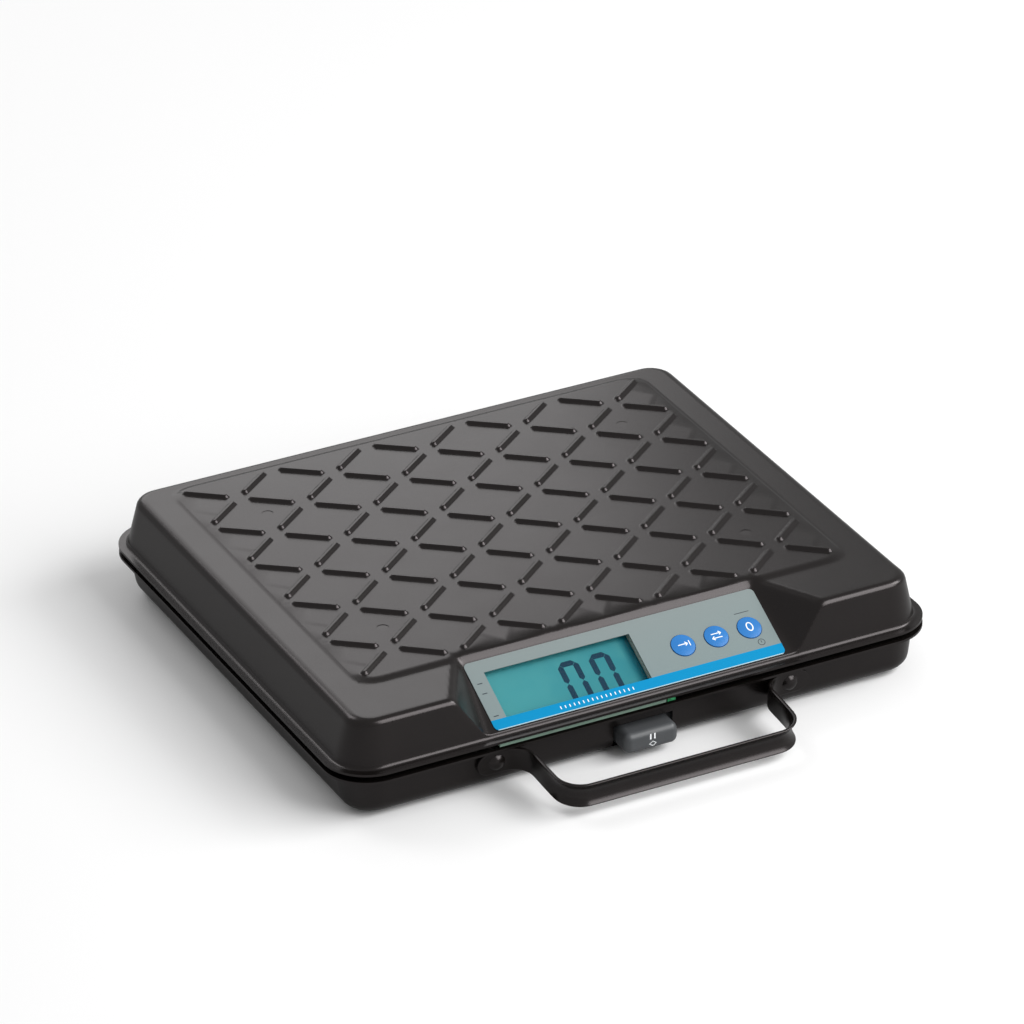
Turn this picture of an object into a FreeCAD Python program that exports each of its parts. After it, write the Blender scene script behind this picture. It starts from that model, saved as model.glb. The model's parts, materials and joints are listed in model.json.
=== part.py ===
import FreeCAD, Part
import math
import os

# Bench scale. Millimetres, +Z up, +X to the right when facing the display, -Y towards the
# display and the handle. Pieces are drawn with the origin on the floor under the centre of the
# rim. write() then moves them along Y, so that the origin is under the middle of the whole
# scale, handle included.

V = FreeCAD.Vector
Z_AXIS = V(0, 0, 1)

# Casing, as seen in plan and from the side
RIM_HALF_X = 158.75
RIM_HALF_Y = 139.1
RIM_CORNER = 23.0
SHEET = 1.2
FOOT_HEIGHT = 2.0
PAN_RIM_Z = 23.7
TOP_RIM_Z = 27.9
SHOULDER_Z = 52.1
PANEL_EDGE_Z = 53.0
PANEL_CROWN = 1.4
CROWN_STEP = 0.15

# Distances in from the rim edge
PAN_BASE_INSET = 8.6
PAN_FRONT_BASE_INSET = 6.6
PAN_RIM_INSET = 5.0
TOP_RIM_INSET = 4.5
TOP_SHOULDER_INSET = 10.7
TOP_FRONT_SHOULDER_INSET = 7.6
PAN_BOTTOM_R = 7.0
TOP_BEND_R = 4.5

# Raised panel with its embossed bars
PANEL_HALF_X = 132.0
PANEL_HALF_Y = 110.7
PANEL_Y = 10.7
PANEL_CORNER = 13.0
PANEL_SLOPE = 3.6
BAR_COUNT = 10
BAR_PITCH_X = 25.95
BAR_PITCH_Y = 21.18
BAR_CENTRE_Y = 11.24
BAR_ANGLE = 39.2
BAR_LENGTH = 23.5
BAR_WIDTH = 3.9
BAR_HEIGHT = 1.6

# Display recess: its floor passes through the label's top edge
RECESS_TILT = 28.0
BACK_TILT = 58.0
BACK_T = -0.6
LABEL_TOP_Y = -98.8
LABEL_TOP_Z = 49.1
LABEL_W = 155.0
LABEL_L = 39.2
LABEL_T = 0.4
LABEL_CORNER = 2.5
CHEEK_A = V(80.8, -98.8, 52.1)
CHEEK_B = V(98.2, -131.2, 52.1)
CHEEK_C = V(83.5, -133.0, 31.0)

# Display and keys: X across, T down the slope from the label's top edge, N off its face
WINDOW_X = (-69.4, 7.6)
WINDOW_T = (6.9, 33.4)
OPENING_MARGIN = 1.4
CLEAR_SHEET_N = (-2.8, -1.7)
CLEAR_SHEET_X = (-78.0, 10.0)
FRAME_X = (-77.0, 12.0)
FRAME_T = (2.0, 37.6)
FRAME_N = (-9.3, -2.9)
FRAME_WALL = 3.7
GLASS_N = (-6.4, -4.6)
BACKLIGHT_N = (-8.9, -6.5)
GLASS_GAP = 0.3
MAIN_BOARD_X = (-77.0, 22.0)
MAIN_BOARD_T = (1.5, 36.8)
MAIN_BOARD_N = (-11.0, -9.4)
KEY_BOARD_X = (12.5, 77.0)
KEY_BOARD_T = (5.0, 36.5)
KEY_BOARD_N = (-2.85, -1.95)
TAB_X = (10.8, 15.0)
CLEAR_SHEET_T = (2.0, 39.3)
TAB_T = (31.5, 39.0)
WEB_Y = (-132.9, -131.0)
WEB_TOP_Z = 28.9
LIP_FRONT_Y = -138.2
LIP_Z = (24.6, 26.3)
CHIPS = [(-44.0, 15.0, 5.0), (-18.0, 17.0, 3.6), (2.0, 23.0, 2.6)]
CHIP_H = 1.55
CONNECTOR_X = (-36.0, -24.0)
CONNECTOR_T = (25.0, 32.0)
CONNECTOR_H = 3.15
CONNECTOR_WALL = 1.2
CONTACT = 0.05
KEY_X = {"key_tare": 30.3, "key_units": 48.2, "key_zero": 66.1}
KEY_T = 20.8
KEY_R = 5.95
KEY_HOLE_R = 6.3
KEY_SHEET_HOLE_R = 7.0
KEY_FLANGE_R = 6.8
KEY_FLANGE_N = (-0.95, -0.55)
KEY_TOP_N = 1.0
KEY_DOME_R = 30.0
KEY_HOLLOW_R = 4.6
KEY_PLUNGER_R = 1.6
KEY_PLUNGER_N = (-1.52, -0.5)
SWITCH_HALF = 3.0
SWITCH_TOP_N = -1.2

# Display bracket: the studs that carry it, given by their place in plan
BRACKET_HALF_X = 94.0
BRACKET_T = (-4.0, 32.0)
BRACKET_N = (-16.0, -14.5)
BOSS_R = 2.6
MAIN_BOSSES = [(x, t) for x in (-66.0, -8.0) for t in (4.5, 31.0)]
KEY_BOSSES = [(x, t) for x in (28.0, 72.0) for t in (8.5, 32.0)]
CABLE_NOTCH = ((-38.0, -22.0), (23.0, 34.0))
BRACKET_STUD = (90.0, -96.0)
BRACKET_STUD_R = 1.5
BRACKET_BORE_R = 1.6
BRACKET_POST_R = 4.0
BRACKET_FOOT_Z = 33.0
NUT_R = 3.2
NUT_H = 2.4

# Load cells, rails and studs
STUD_X = 98.0
STUD_Y_OFFSET = 65.0
STUD_CENTRE_Y = 9.6
STUD_HEAD_R = 2.85
STUD_SHANK_R = 2.0
STUD_BORE_R = 2.06
RAIL_WIDTH = 26.0
RAIL_T = 1.5
RAIL_HALF_LENGTH = 92.0
PAN_RAIL_TOP_Z = 13.2
CELL_BOTTOM_Z = 15.2
CELL_SIZE = 12.7
CELL_LENGTH = 66.0
CELL_END = 6.5
TOP_RAIL_Z = 51.6

# Handle: a flat strap, leaning with the front wall
HANDLE_HALF = 63.2
HANDLE_OUT = 44.5
HANDLE_Z = 15.0
STRAP_W = 12.5
STRAP_T = 1.9
STRAP_WALL_R = 10.8
STRAP_CORNER_R = 13.0
RIVET_HALF = 78.4
EAR_CENTRE_HALF = 82.4
RIVET_HEAD_R = 4.3
RIVET_HEAD_H = 2.1
RIVET_SHANK_R = 2.5
RIVET_HOLE_R = 2.55

# Hold button in the front wall
BUTTON_HALF_X = 14.2
BUTTON_Z = (3.8, 14.6)
BUTTON_FRONT_Y = -143.2
BUTTON_BACK_Y = -127.8
BUTTON_EDGE_R = 3.6
SLOT_HALF_X = 15.8
SLOT_Z = (3.4, 16.0)

# Battery bay in the floor of the pan
BAY_HALF_X = 28.5
BAY_Y = (62.0, 90.0)
BAY_DEPTH = 19.5
BAY_WALL = 1.5

# Feet and power socket
FOOT_X = 125.0
FOOT_Y = 103.0
FOOT_R = 9.0
JACK_Y = 60.0
JACK_Z = 12.5

FLOOR_Z = FOOT_HEIGHT + SHEET
STUD_YS = [STUD_CENTRE_Y - STUD_Y_OFFSET, STUD_CENTRE_Y + STUD_Y_OFFSET]
PAN_WALL_LEAN = math.degrees(math.atan2(
    PAN_FRONT_BASE_INSET - PAN_RIM_INSET, PAN_RIM_Z - SHEET - FOOT_HEIGHT))


# ---------------------------------------------------------------- helpers

def box(x, y, z):
    """A box from three (low, high) pairs."""
    return Part.makeBox(x[1] - x[0], y[1] - y[0], z[1] - z[0], V(x[0], y[0], z[0]))


def rod(radius, start, end):
    """A round bar from one point to another."""
    axis = end - start
    return Part.makeCylinder(radius, axis.Length, start, axis)


def rounded_wire(half_x, y_low, y_high, radius, z):
    """A rounded rectangle, symmetrical about X = 0, at height z."""
    x0, x1, y0, y1 = -half_x, half_x, y_low, y_high
    k = radius * (1 - math.sqrt(0.5))
    corners = [
        (V(x1, y0 + radius, z), V(x1 - k, y0 + k, z), V(x1 - radius, y0, z)),
        (V(x0 + radius, y0, z), V(x0 + k, y0 + k, z), V(x0, y0 + radius, z)),
        (V(x0, y1 - radius, z), V(x0 + k, y1 - k, z), V(x0 + radius, y1, z)),
        (V(x1 - radius, y1, z), V(x1 - k, y1 - k, z), V(x1, y1 - radius, z)),
    ]
    edges = []
    for i, (start, mid, end) in enumerate(corners):
        edges.append(Part.Arc(start, mid, end).toShape())
        edges.append(Part.LineSegment(end, corners[(i + 1) % 4][0]).toShape())
    return Part.Wire(edges)


def rim_wire(inset, front_inset, z):
    """The rim outline moved inwards, with its own inset at the front."""
    return rounded_wire(RIM_HALF_X - inset, -RIM_HALF_Y + front_inset, RIM_HALF_Y - inset,
                        RIM_CORNER - inset, z)


def plate(wire, height):
    return Part.Face(wire).extrude(V(0, 0, height))


def loft(*wires):
    return Part.makeLoft(list(wires), True, True)


def half_space(point, normal):
    """A very large block on the side of the plane that the normal points to."""
    size = 900.0
    block = Part.makeBox(size, size, size, V(-size / 2, -size / 2, 0))
    block.Placement = FreeCAD.Placement(point, FreeCAD.Rotation(Z_AXIS, normal))
    return block


def mirrored(shape):
    """The same shape on the other side of the centre plane X = 0."""
    return shape.mirror(V(0, 0, 0), V(1, 0, 0))


def common_of(shapes):
    result = shapes[0]
    for shape in shapes[1:]:
        result = result.common(shape)
    return result


def on_slope(shape):
    """Moves a shape from label coordinates (x, -t, height over the label) to its place."""
    moved = shape.copy()
    moved.Placement = FreeCAD.Placement(
        V(0, LABEL_TOP_Y, LABEL_TOP_Z),
        FreeCAD.Rotation(V(1, 0, 0), RECESS_TILT)).multiply(shape.Placement)
    return moved


def slope_box(x, t, n):
    """A box on the slope: x across, t down the slope, n above the label."""
    return on_slope(box(x, (-t[1], -t[0]), n))


def slope_point(x, t, n):
    tilt = math.radians(RECESS_TILT)
    return V(x, LABEL_TOP_Y - t * math.cos(tilt) - n * math.sin(tilt),
             LABEL_TOP_Z - t * math.sin(tilt) + n * math.cos(tilt))


def slope_rod(radius, x, t, n):
    return rod(radius, slope_point(x, t, n[0]), slope_point(x, t, n[1]))


def edges_at_height(shape, z, tolerance=0.05):
    """The edges that lie flat at one height."""
    return [e for e in shape.Edges
            if abs(e.BoundBox.ZMin - z) < tolerance and abs(e.BoundBox.ZMax - z) < tolerance]


def stud_places():
    return [(x, y) for x in (-STUD_X, STUD_X) for y in STUD_YS]


def panel_z(x, y):
    """Height of the crowned panel, which is level along its edges."""
    u = x / (PANEL_HALF_X - PANEL_SLOPE)
    v = (y - PANEL_Y) / (PANEL_HALF_Y - PANEL_SLOPE)
    return PANEL_EDGE_Z + CROWN_STEP + (PANEL_CROWN - CROWN_STEP) * (1 - u * u) * (1 - v * v)


# ---------------------------------------------------------------- platform

def crowned_block(drop):
    """The top of the panel down to a little under the shoulder: it stands a small step inside
    the slope's upper edge."""
    steps = [-1.1 + 0.22 * i for i in range(11)]
    half_x = PANEL_HALF_X - PANEL_SLOPE
    half_y = PANEL_HALF_Y - PANEL_SLOPE
    grid = [[V(u * half_x, PANEL_Y + v * half_y,
               panel_z(u * half_x, PANEL_Y + v * half_y) - drop) for v in steps] for u in steps]
    surface = Part.BSplineSurface()
    surface.interpolate(grid)
    under = surface.toShape().extrude(V(0, 0, -3.0))
    outline = rounded_wire(half_x - CROWN_STEP, PANEL_Y - half_y + CROWN_STEP,
                           PANEL_Y + half_y - CROWN_STEP, PANEL_CORNER - PANEL_SLOPE - CROWN_STEP,
                           SHOULDER_Z - drop - 0.6)
    return plate(outline, 6.0).common(under)


def panel_slope(drop):
    """The sloping band between the shoulder and the panel."""
    low_z = SHOULDER_Z - drop - 1.0
    low = rounded_wire(PANEL_HALF_X + 4.0, PANEL_Y - PANEL_HALF_Y - 4.0,
                       PANEL_Y + PANEL_HALF_Y + 4.0, PANEL_CORNER + 4.0, low_z)
    half_x = PANEL_HALF_X - PANEL_SLOPE
    half_y = PANEL_HALF_Y - PANEL_SLOPE
    high = rounded_wire(half_x, PANEL_Y - half_y, PANEL_Y + half_y,
                        PANEL_CORNER - PANEL_SLOPE, PANEL_EDGE_Z - drop)
    return loft(low, high)


def recess_cutter(drop):
    """The wedge that the display recess removes: a sloping floor, a steep back wall and two
    flared cheeks."""
    floor_normal = slope_point(0, 0, 1) - slope_point(0, 0, 0)
    floor = half_space(slope_point(0, 0, -LABEL_T - drop), floor_normal)
    back_tilt = math.radians(BACK_TILT)
    back_normal = V(0, -math.sin(back_tilt), math.cos(back_tilt))
    back = half_space(slope_point(0, BACK_T, -LABEL_T) - back_normal * drop, back_normal)
    cheek_normal = (CHEEK_B - CHEEK_A).cross(CHEEK_C - CHEEK_A).normalize()
    if cheek_normal.z < 0:
        cheek_normal = cheek_normal * -1
    cheek = half_space(CHEEK_A - cheek_normal * drop, cheek_normal)
    above_rim = box((-200, 200), (-200, 0), (TOP_RIM_Z - drop, 90))
    return common_of([floor, back, cheek, mirrored(cheek), above_rim])


def platform_form(drop):
    """The solid body of the platform's outside (drop 0) or inside (drop = sheet thickness)."""
    per_mm = (TOP_SHOULDER_INSET - TOP_RIM_INSET) / (SHOULDER_Z - TOP_RIM_Z)
    front_per_mm = (TOP_FRONT_SHOULDER_INSET - TOP_RIM_INSET) / (SHOULDER_Z - TOP_RIM_Z)
    low_z = TOP_RIM_Z - SHEET - (5.0 if drop else 0.0)
    high_z = SHOULDER_Z - drop
    low = rim_wire(TOP_RIM_INSET + (low_z - TOP_RIM_Z) * per_mm + drop,
                   TOP_RIM_INSET + (low_z - TOP_RIM_Z) * front_per_mm + drop, low_z)
    high = rim_wire(TOP_RIM_INSET + (high_z - TOP_RIM_Z) * per_mm + drop,
                    TOP_RIM_INSET + (high_z - TOP_RIM_Z) * front_per_mm + drop, high_z)
    form = loft(low, high)
    form = form.makeFillet(TOP_BEND_R - drop, edges_at_height(form, high_z))
    form = form.fuse(panel_slope(drop)).fuse(crowned_block(drop))
    return form.cut(recess_cutter(drop))


def bar(angle):
    """One embossed bar, centred on the origin, with rounded ends and top edges."""
    straight = (BAR_LENGTH - BAR_WIDTH) / 2
    radius = BAR_WIDTH / 2
    height = BAR_HEIGHT + 0.8
    body = Part.makeBox(2 * straight, BAR_WIDTH, height, V(-straight, -radius, 0))
    for x in (-straight, straight):
        body = body.fuse(Part.makeCylinder(radius, height, V(x, 0, 0)))
    body = body.removeSplitter()
    body = body.makeFillet(1.1, edges_at_height(body, height))
    body.rotate(V(0, 0, 0), Z_AXIS, angle)
    return body


def bars():
    """Ten by ten bars in a woven pattern: neighbours lean opposite ways."""
    leaning = {1: bar(BAR_ANGLE), -1: bar(-BAR_ANGLE)}
    placed = []
    for row in range(BAR_COUNT):
        for column in range(BAR_COUNT):
            x = (column - (BAR_COUNT - 1) / 2) * BAR_PITCH_X
            y = BAR_CENTRE_Y + ((BAR_COUNT - 1) / 2 - row) * BAR_PITCH_Y
            piece = leaning[-1 if (row + column) % 2 == 0 else 1].copy()
            piece.translate(V(x, y, panel_z(x, y) - 0.8))
            placed.append(piece)
    return placed


def widened(span, margin):
    return (span[0] - margin, span[1] + margin)


def platform():
    """Pressed steel platform: rim, walls, crowned panel, bars, display recess and its openings."""
    flange = plate(rim_wire(0, 0, TOP_RIM_Z - SHEET), SHEET)
    outside = platform_form(0.0).fuse(flange)
    skin = outside.cut(platform_form(SHEET))
    skin = skin.multiFuse(bars())
    through = (-LABEL_T - SHEET - 1.0, 2.0)
    skin = skin.cut(slope_box(widened(WINDOW_X, OPENING_MARGIN), widened(WINDOW_T, OPENING_MARGIN),
                              through))
    for x in KEY_X.values():
        skin = skin.cut(slope_rod(KEY_SHEET_HOLE_R, x, KEY_T, through))
    for x, y in stud_places():
        skin = skin.cut(Part.makeCylinder(STUD_HEAD_R + 0.05, 8.0, V(x, y, 50.0)))
    return skin


def platform_studs():
    """Studs set flush in the platform, reaching down through the rails into the load cells."""
    studs = []
    for x, y in stud_places():
        head_top = panel_z(x, y) - 0.25
        head = rod(STUD_HEAD_R, V(x, y, TOP_RAIL_Z), V(x, y, head_top))
        shank = rod(STUD_SHANK_R, V(x, y, 17.5), V(x, y, TOP_RAIL_Z + 0.2))
        studs.append(head.fuse(shank))
    return studs


def channel(z_top, depth):
    """A rail of channel section, open downwards, along Y, with a bore for each stud."""
    y = (STUD_CENTRE_Y - RAIL_HALF_LENGTH, STUD_CENTRE_Y + RAIL_HALF_LENGTH)
    half = RAIL_WIDTH / 2
    outer = box((STUD_X - half, STUD_X + half), y, (z_top - depth, z_top))
    inner = box((STUD_X - half + RAIL_T, STUD_X + half - RAIL_T), (y[0] - 1, y[1] + 1),
                (z_top - depth - 1, z_top - RAIL_T))
    return outer.cut(inner)


def platform_rails():
    """Stiffening rails under the platform that carry the studs."""
    rail = channel(TOP_RAIL_Z, 10.0)
    for y in STUD_YS:
        rail = rail.cut(rod(STUD_BORE_R, V(STUD_X, y, 40), V(STUD_X, y, 60)))
    return [rail, mirrored(rail)]


def platform_posts():
    """Sleeves around the studs that carry the rails on the load cells."""
    low_z = CELL_BOTTOM_Z + CELL_SIZE
    high_z = TOP_RAIL_Z - RAIL_T
    posts = []
    for x, y in stud_places():
        sleeve = rod(5.5, V(x, y, low_z), V(x, y, high_z))
        posts.append(sleeve.cut(rod(STUD_BORE_R, V(x, y, low_z - 1), V(x, y, high_z + 1))))
    return posts


# ---------------------------------------------------------------- display, on the slope

def label_overlay():
    """Printed overlay with its window and key openings."""
    outline = rounded_wire(LABEL_W / 2, -LABEL_L, 0, LABEL_CORNER, -LABEL_T)
    overlay = on_slope(plate(outline, LABEL_T))
    overlay = overlay.cut(slope_box(WINDOW_X, WINDOW_T, (-2, 2)))
    for x in KEY_X.values():
        overlay = overlay.cut(slope_rod(KEY_HOLE_R, x, KEY_T, (-2, 2)))
    return overlay


def with_lip(sheet, x):
    """Adds a lip along the lower edge of a sheet, which stands in the gap between the rims."""
    web = box(x, WEB_Y, (LIP_Z[0], WEB_TOP_Z))
    lip = box(x, (LIP_FRONT_Y, WEB_Y[1]), LIP_Z)
    return sheet.fuse(web).fuse(lip).removeSplitter()


def display_window():
    """Clear sheet behind the opening. Its lower edge shows in the gap between the rims."""
    return with_lip(slope_box(CLEAR_SHEET_X, CLEAR_SHEET_T, CLEAR_SHEET_N), CLEAR_SHEET_X)


def lcd_frame():
    """Moulded frame that holds the glass and its backlight on the board."""
    outer = slope_box(FRAME_X, FRAME_T, FRAME_N)
    return outer.cut(slope_box(widened(FRAME_X, -FRAME_WALL), widened(FRAME_T, -FRAME_WALL / 2),
                               widened(FRAME_N, 1.0)))


def inside_frame(gap):
    """Spans across and down the slope that leave a gap to the frame's inside."""
    return widened(FRAME_X, -FRAME_WALL - gap), widened(FRAME_T, -FRAME_WALL / 2 - gap)


def lcd_glass():
    return slope_box(*inside_frame(GLASS_GAP), GLASS_N)


def lcd_backlight():
    return slope_box(*inside_frame(2 * GLASS_GAP), BACKLIGHT_N)


def main_board():
    """Main circuit board behind the display."""
    return slope_box(MAIN_BOARD_X, MAIN_BOARD_T, MAIN_BOARD_N)


def behind_main_board(height):
    """Heights of something that stands on the back of the main board."""
    return (MAIN_BOARD_N[0] - height, MAIN_BOARD_N[0] - CONTACT)


def board_chips():
    """Controller and amplifier packages on the back of the main board."""
    return [slope_box((x - half, x + half), (t - half, t + half), behind_main_board(CHIP_H))
            for x, t, half in CHIPS]


def board_connector():
    """Socket for the cable from the base."""
    shell = slope_box(CONNECTOR_X, CONNECTOR_T, behind_main_board(CONNECTOR_H))
    mouth = (MAIN_BOARD_N[0] - CONNECTOR_H - 1.0, MAIN_BOARD_N[0] - CONNECTOR_WALL)
    return shell.cut(slope_box(widened(CONNECTOR_X, -CONNECTOR_WALL),
                               widened(CONNECTOR_T, -CONNECTOR_WALL), mouth))


def board_header():
    """Pin header that joins the key board to the main board."""
    return slope_box((16.0, 18.5), (11.0, 29.0),
                     (MAIN_BOARD_N[1] + CONTACT, KEY_BOARD_N[0] - CONTACT))


def key_board():
    """Key board close behind the sheet, with a tab down into the gap between the rims."""
    board = slope_box(KEY_BOARD_X, KEY_BOARD_T, KEY_BOARD_N)
    tab = slope_box(TAB_X, TAB_T, KEY_BOARD_N)
    return with_lip(board.fuse(tab), TAB_X)


def key_switches():
    """Low-profile push switches, one under each key."""
    low = KEY_BOARD_N[1] + CONTACT / 2
    bodies = []
    for x in KEY_X.values():
        body = slope_box((x - SWITCH_HALF, x + SWITCH_HALF), (KEY_T - SWITCH_HALF, KEY_T + SWITCH_HALF),
                         (low, SWITCH_TOP_N))
        bodies.append(body.cut(slope_rod(KEY_PLUNGER_R + CONTACT, x, KEY_T, (low + 0.06, 0))))
    return bodies


def key_plunger(x):
    return slope_rod(KEY_PLUNGER_R, x, KEY_T, KEY_PLUNGER_N)


def key_cap(x):
    """A domed key with a retaining flange under the label."""
    middle = V(x, -KEY_T, 0)
    cap = rod(KEY_R, middle + V(0, 0, KEY_FLANGE_N[0]), middle + V(0, 0, KEY_TOP_N))
    cap = cap.common(Part.makeSphere(KEY_DOME_R, middle + V(0, 0, KEY_TOP_N - KEY_DOME_R)))
    cap = cap.fuse(rod(KEY_FLANGE_R, middle + V(0, 0, KEY_FLANGE_N[0]),
                       middle + V(0, 0, KEY_FLANGE_N[1])))
    hollow_top = KEY_PLUNGER_N[1] + CONTACT
    cap = cap.cut(rod(KEY_HOLLOW_R, middle + V(0, 0, KEY_FLANGE_N[0] - 1.0),
                      middle + V(0, 0, hollow_top)))
    return on_slope(cap)


def display_bracket():
    """Moulded rear bracket: a sloping plate with a notch for the cable, bosses for both boards
    and two fixing posts."""
    bracket = slope_box((-BRACKET_HALF_X, BRACKET_HALF_X), BRACKET_T, BRACKET_N)
    for places, board_n in ((MAIN_BOSSES, MAIN_BOARD_N), (KEY_BOSSES, KEY_BOARD_N)):
        for x, t in places:
            bracket = bracket.fuse(slope_rod(BOSS_R, x, t, (BRACKET_N[0] + 0.5, board_n[0] - CONTACT)))
    bracket = bracket.cut(slope_box(*CABLE_NOTCH, widened(BRACKET_N, 1.0)))
    post_top = SHOULDER_Z - SHEET - 2 * CONTACT
    post = rod(BRACKET_POST_R, V(*BRACKET_STUD, BRACKET_FOOT_Z), V(*BRACKET_STUD, post_top))
    bore = rod(BRACKET_BORE_R, V(*BRACKET_STUD, BRACKET_FOOT_Z - 5), V(*BRACKET_STUD, SHOULDER_Z))
    for piece in (post, mirrored(post)):
        bracket = bracket.fuse(piece)
    for tool in (bore, mirrored(bore)):
        bracket = bracket.cut(tool)
    corner = box((BRACKET_STUD[0] - BRACKET_POST_R, BRACKET_HALF_X + 1),
                 (BRACKET_STUD[1] - BRACKET_POST_R, BRACKET_STUD[1] + BRACKET_POST_R),
                 (BRACKET_FOOT_Z - 9, BRACKET_FOOT_Z))
    return bracket.cut(corner).cut(mirrored(corner)).removeSplitter()


def display_studs():
    """Weld studs that hang from the shoulder and carry the display bracket."""
    stud = rod(BRACKET_STUD_R, V(*BRACKET_STUD, BRACKET_FOOT_Z - 4.0), V(*BRACKET_STUD, SHOULDER_Z - SHEET))
    return [stud, mirrored(stud)]


def display_nuts():
    """Hexagon nuts under the display bracket."""
    low = V(*BRACKET_STUD, BRACKET_FOOT_Z - NUT_H)
    corners = [low + V(NUT_R * math.cos(math.radians(60 * i)), NUT_R * math.sin(math.radians(60 * i)), 0)
               for i in range(7)]
    nut = Part.Face(Part.makePolygon(corners)).extrude(V(0, 0, NUT_H))
    nut = nut.cut(rod(BRACKET_STUD_R + 0.06, low, low + V(0, 0, NUT_H)))
    return [nut, mirrored(nut)]


# ---------------------------------------------------------------- base

def pan_form(drop):
    """The solid body of the pan's outside (drop 0) or inside (drop = sheet thickness)."""
    per_mm = (PAN_BASE_INSET - PAN_RIM_INSET) / (PAN_RIM_Z - SHEET - FOOT_HEIGHT)
    front_per_mm = (PAN_FRONT_BASE_INSET - PAN_RIM_INSET) / (PAN_RIM_Z - SHEET - FOOT_HEIGHT)
    low_z = FOOT_HEIGHT + drop
    high_z = PAN_RIM_Z + (5.0 if drop else 0.0)
    rise = PAN_RIM_Z - SHEET
    low = rim_wire(PAN_RIM_INSET + (rise - low_z) * per_mm + drop,
                   PAN_RIM_INSET + (rise - low_z) * front_per_mm + drop, low_z)
    high = rim_wire(PAN_RIM_INSET + (rise - high_z) * per_mm + drop,
                    PAN_RIM_INSET + (rise - high_z) * front_per_mm + drop, high_z)
    form = loft(low, high)
    return form.makeFillet(PAN_BOTTOM_R - drop, edges_at_height(form, low_z))


def front_wall_y(z):
    """Outside of the pan's front wall at a height."""
    rise = PAN_RIM_Z - SHEET
    lean = (PAN_FRONT_BASE_INSET - PAN_RIM_INSET) / (rise - FOOT_HEIGHT)
    return -RIM_HALF_Y + PAN_RIM_INSET + (rise - z) * lean


def on_front_wall(shape):
    """Moves a shape made at (x, outwards as -y, up the wall) onto the leaning front wall."""
    moved = shape.copy()
    moved.Placement = FreeCAD.Placement(
        V(0, front_wall_y(HANDLE_Z), HANDLE_Z),
        FreeCAD.Rotation(V(1, 0, 0), PAN_WALL_LEAN)).multiply(shape.Placement)
    return moved


def base_pan():
    """Pressed steel pan with its rim, foot holes, battery opening, button slot and socket hole."""
    flange = plate(rim_wire(0, 0, PAN_RIM_Z - SHEET), SHEET)
    pan = pan_form(0.0).fuse(flange).cut(pan_form(SHEET))
    for x in (-FOOT_X, FOOT_X):
        for y in (-FOOT_Y, FOOT_Y):
            pan = pan.cut(Part.makeCylinder(4.0, 5, V(x, y, 0)))
    pan = pan.cut(box((-BAY_HALF_X - 0.3, BAY_HALF_X + 0.3), (BAY_Y[0] - 0.3, BAY_Y[1] + 0.3), (0, 5)))
    pan = pan.cut(box((-SLOT_HALF_X, SLOT_HALF_X), (-142, -125.5), SLOT_Z))
    pan = pan.cut(rod(4.1, V(140, JACK_Y, JACK_Z), V(165, JACK_Y, JACK_Z)))
    for x in (-10.0, 10.0):
        pan = pan.cut(Part.makeCylinder(1.6, 5, V(x, -109, 0)))
    for x in (-RIVET_HALF, RIVET_HALF):
        pan = pan.cut(on_front_wall(rod(RIVET_HOLE_R, V(x, -5, 0), V(x, 5, 0))))
    return pan


def rubber_feet():
    """Push-in feet: a pad under the pan, a neck through it and a head that keeps it in."""
    feet = []
    for x in (-FOOT_X, FOOT_X):
        for y in (-FOOT_Y, FOOT_Y):
            pad = Part.makeCylinder(FOOT_R, FOOT_HEIGHT, V(x, y, 0))
            neck = Part.makeCylinder(3.9, SHEET + 0.4, V(x, y, FOOT_HEIGHT - 0.2))
            head = Part.makeCone(5.2, 4.2, 1.8, V(x, y, FLOOR_Z), Z_AXIS)
            feet.append(pad.fuse(neck).fuse(head).removeSplitter())
    return feet


def strap_path_edges(offset):
    """Half of the strap's line in plan, at a distance outwards from its middle line."""
    arm_x = HANDLE_HALF + offset
    wall_r = STRAP_WALL_R - offset
    corner_r = STRAP_CORNER_R + offset
    wall_y = -STRAP_T / 2 - offset
    bar_y = -HANDLE_OUT - offset
    centre_x = arm_x + wall_r
    inner_x = arm_x - corner_r
    s = math.sqrt(0.5)
    bend = Part.Arc(V(centre_x, wall_y, 0),
                    V(centre_x - wall_r * s, wall_y - wall_r + wall_r * s, 0),
                    V(arm_x, wall_y - wall_r, 0)).toShape()
    arm = Part.LineSegment(V(arm_x, wall_y - wall_r, 0), V(arm_x, bar_y + corner_r, 0)).toShape()
    corner = Part.Arc(V(arm_x, bar_y + corner_r, 0),
                      V(inner_x + corner_r * s, bar_y + corner_r - corner_r * s, 0),
                      V(inner_x, bar_y, 0)).toShape()
    return [bend, arm, corner], V(centre_x, wall_y, 0), V(inner_x, bar_y, 0)


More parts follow.
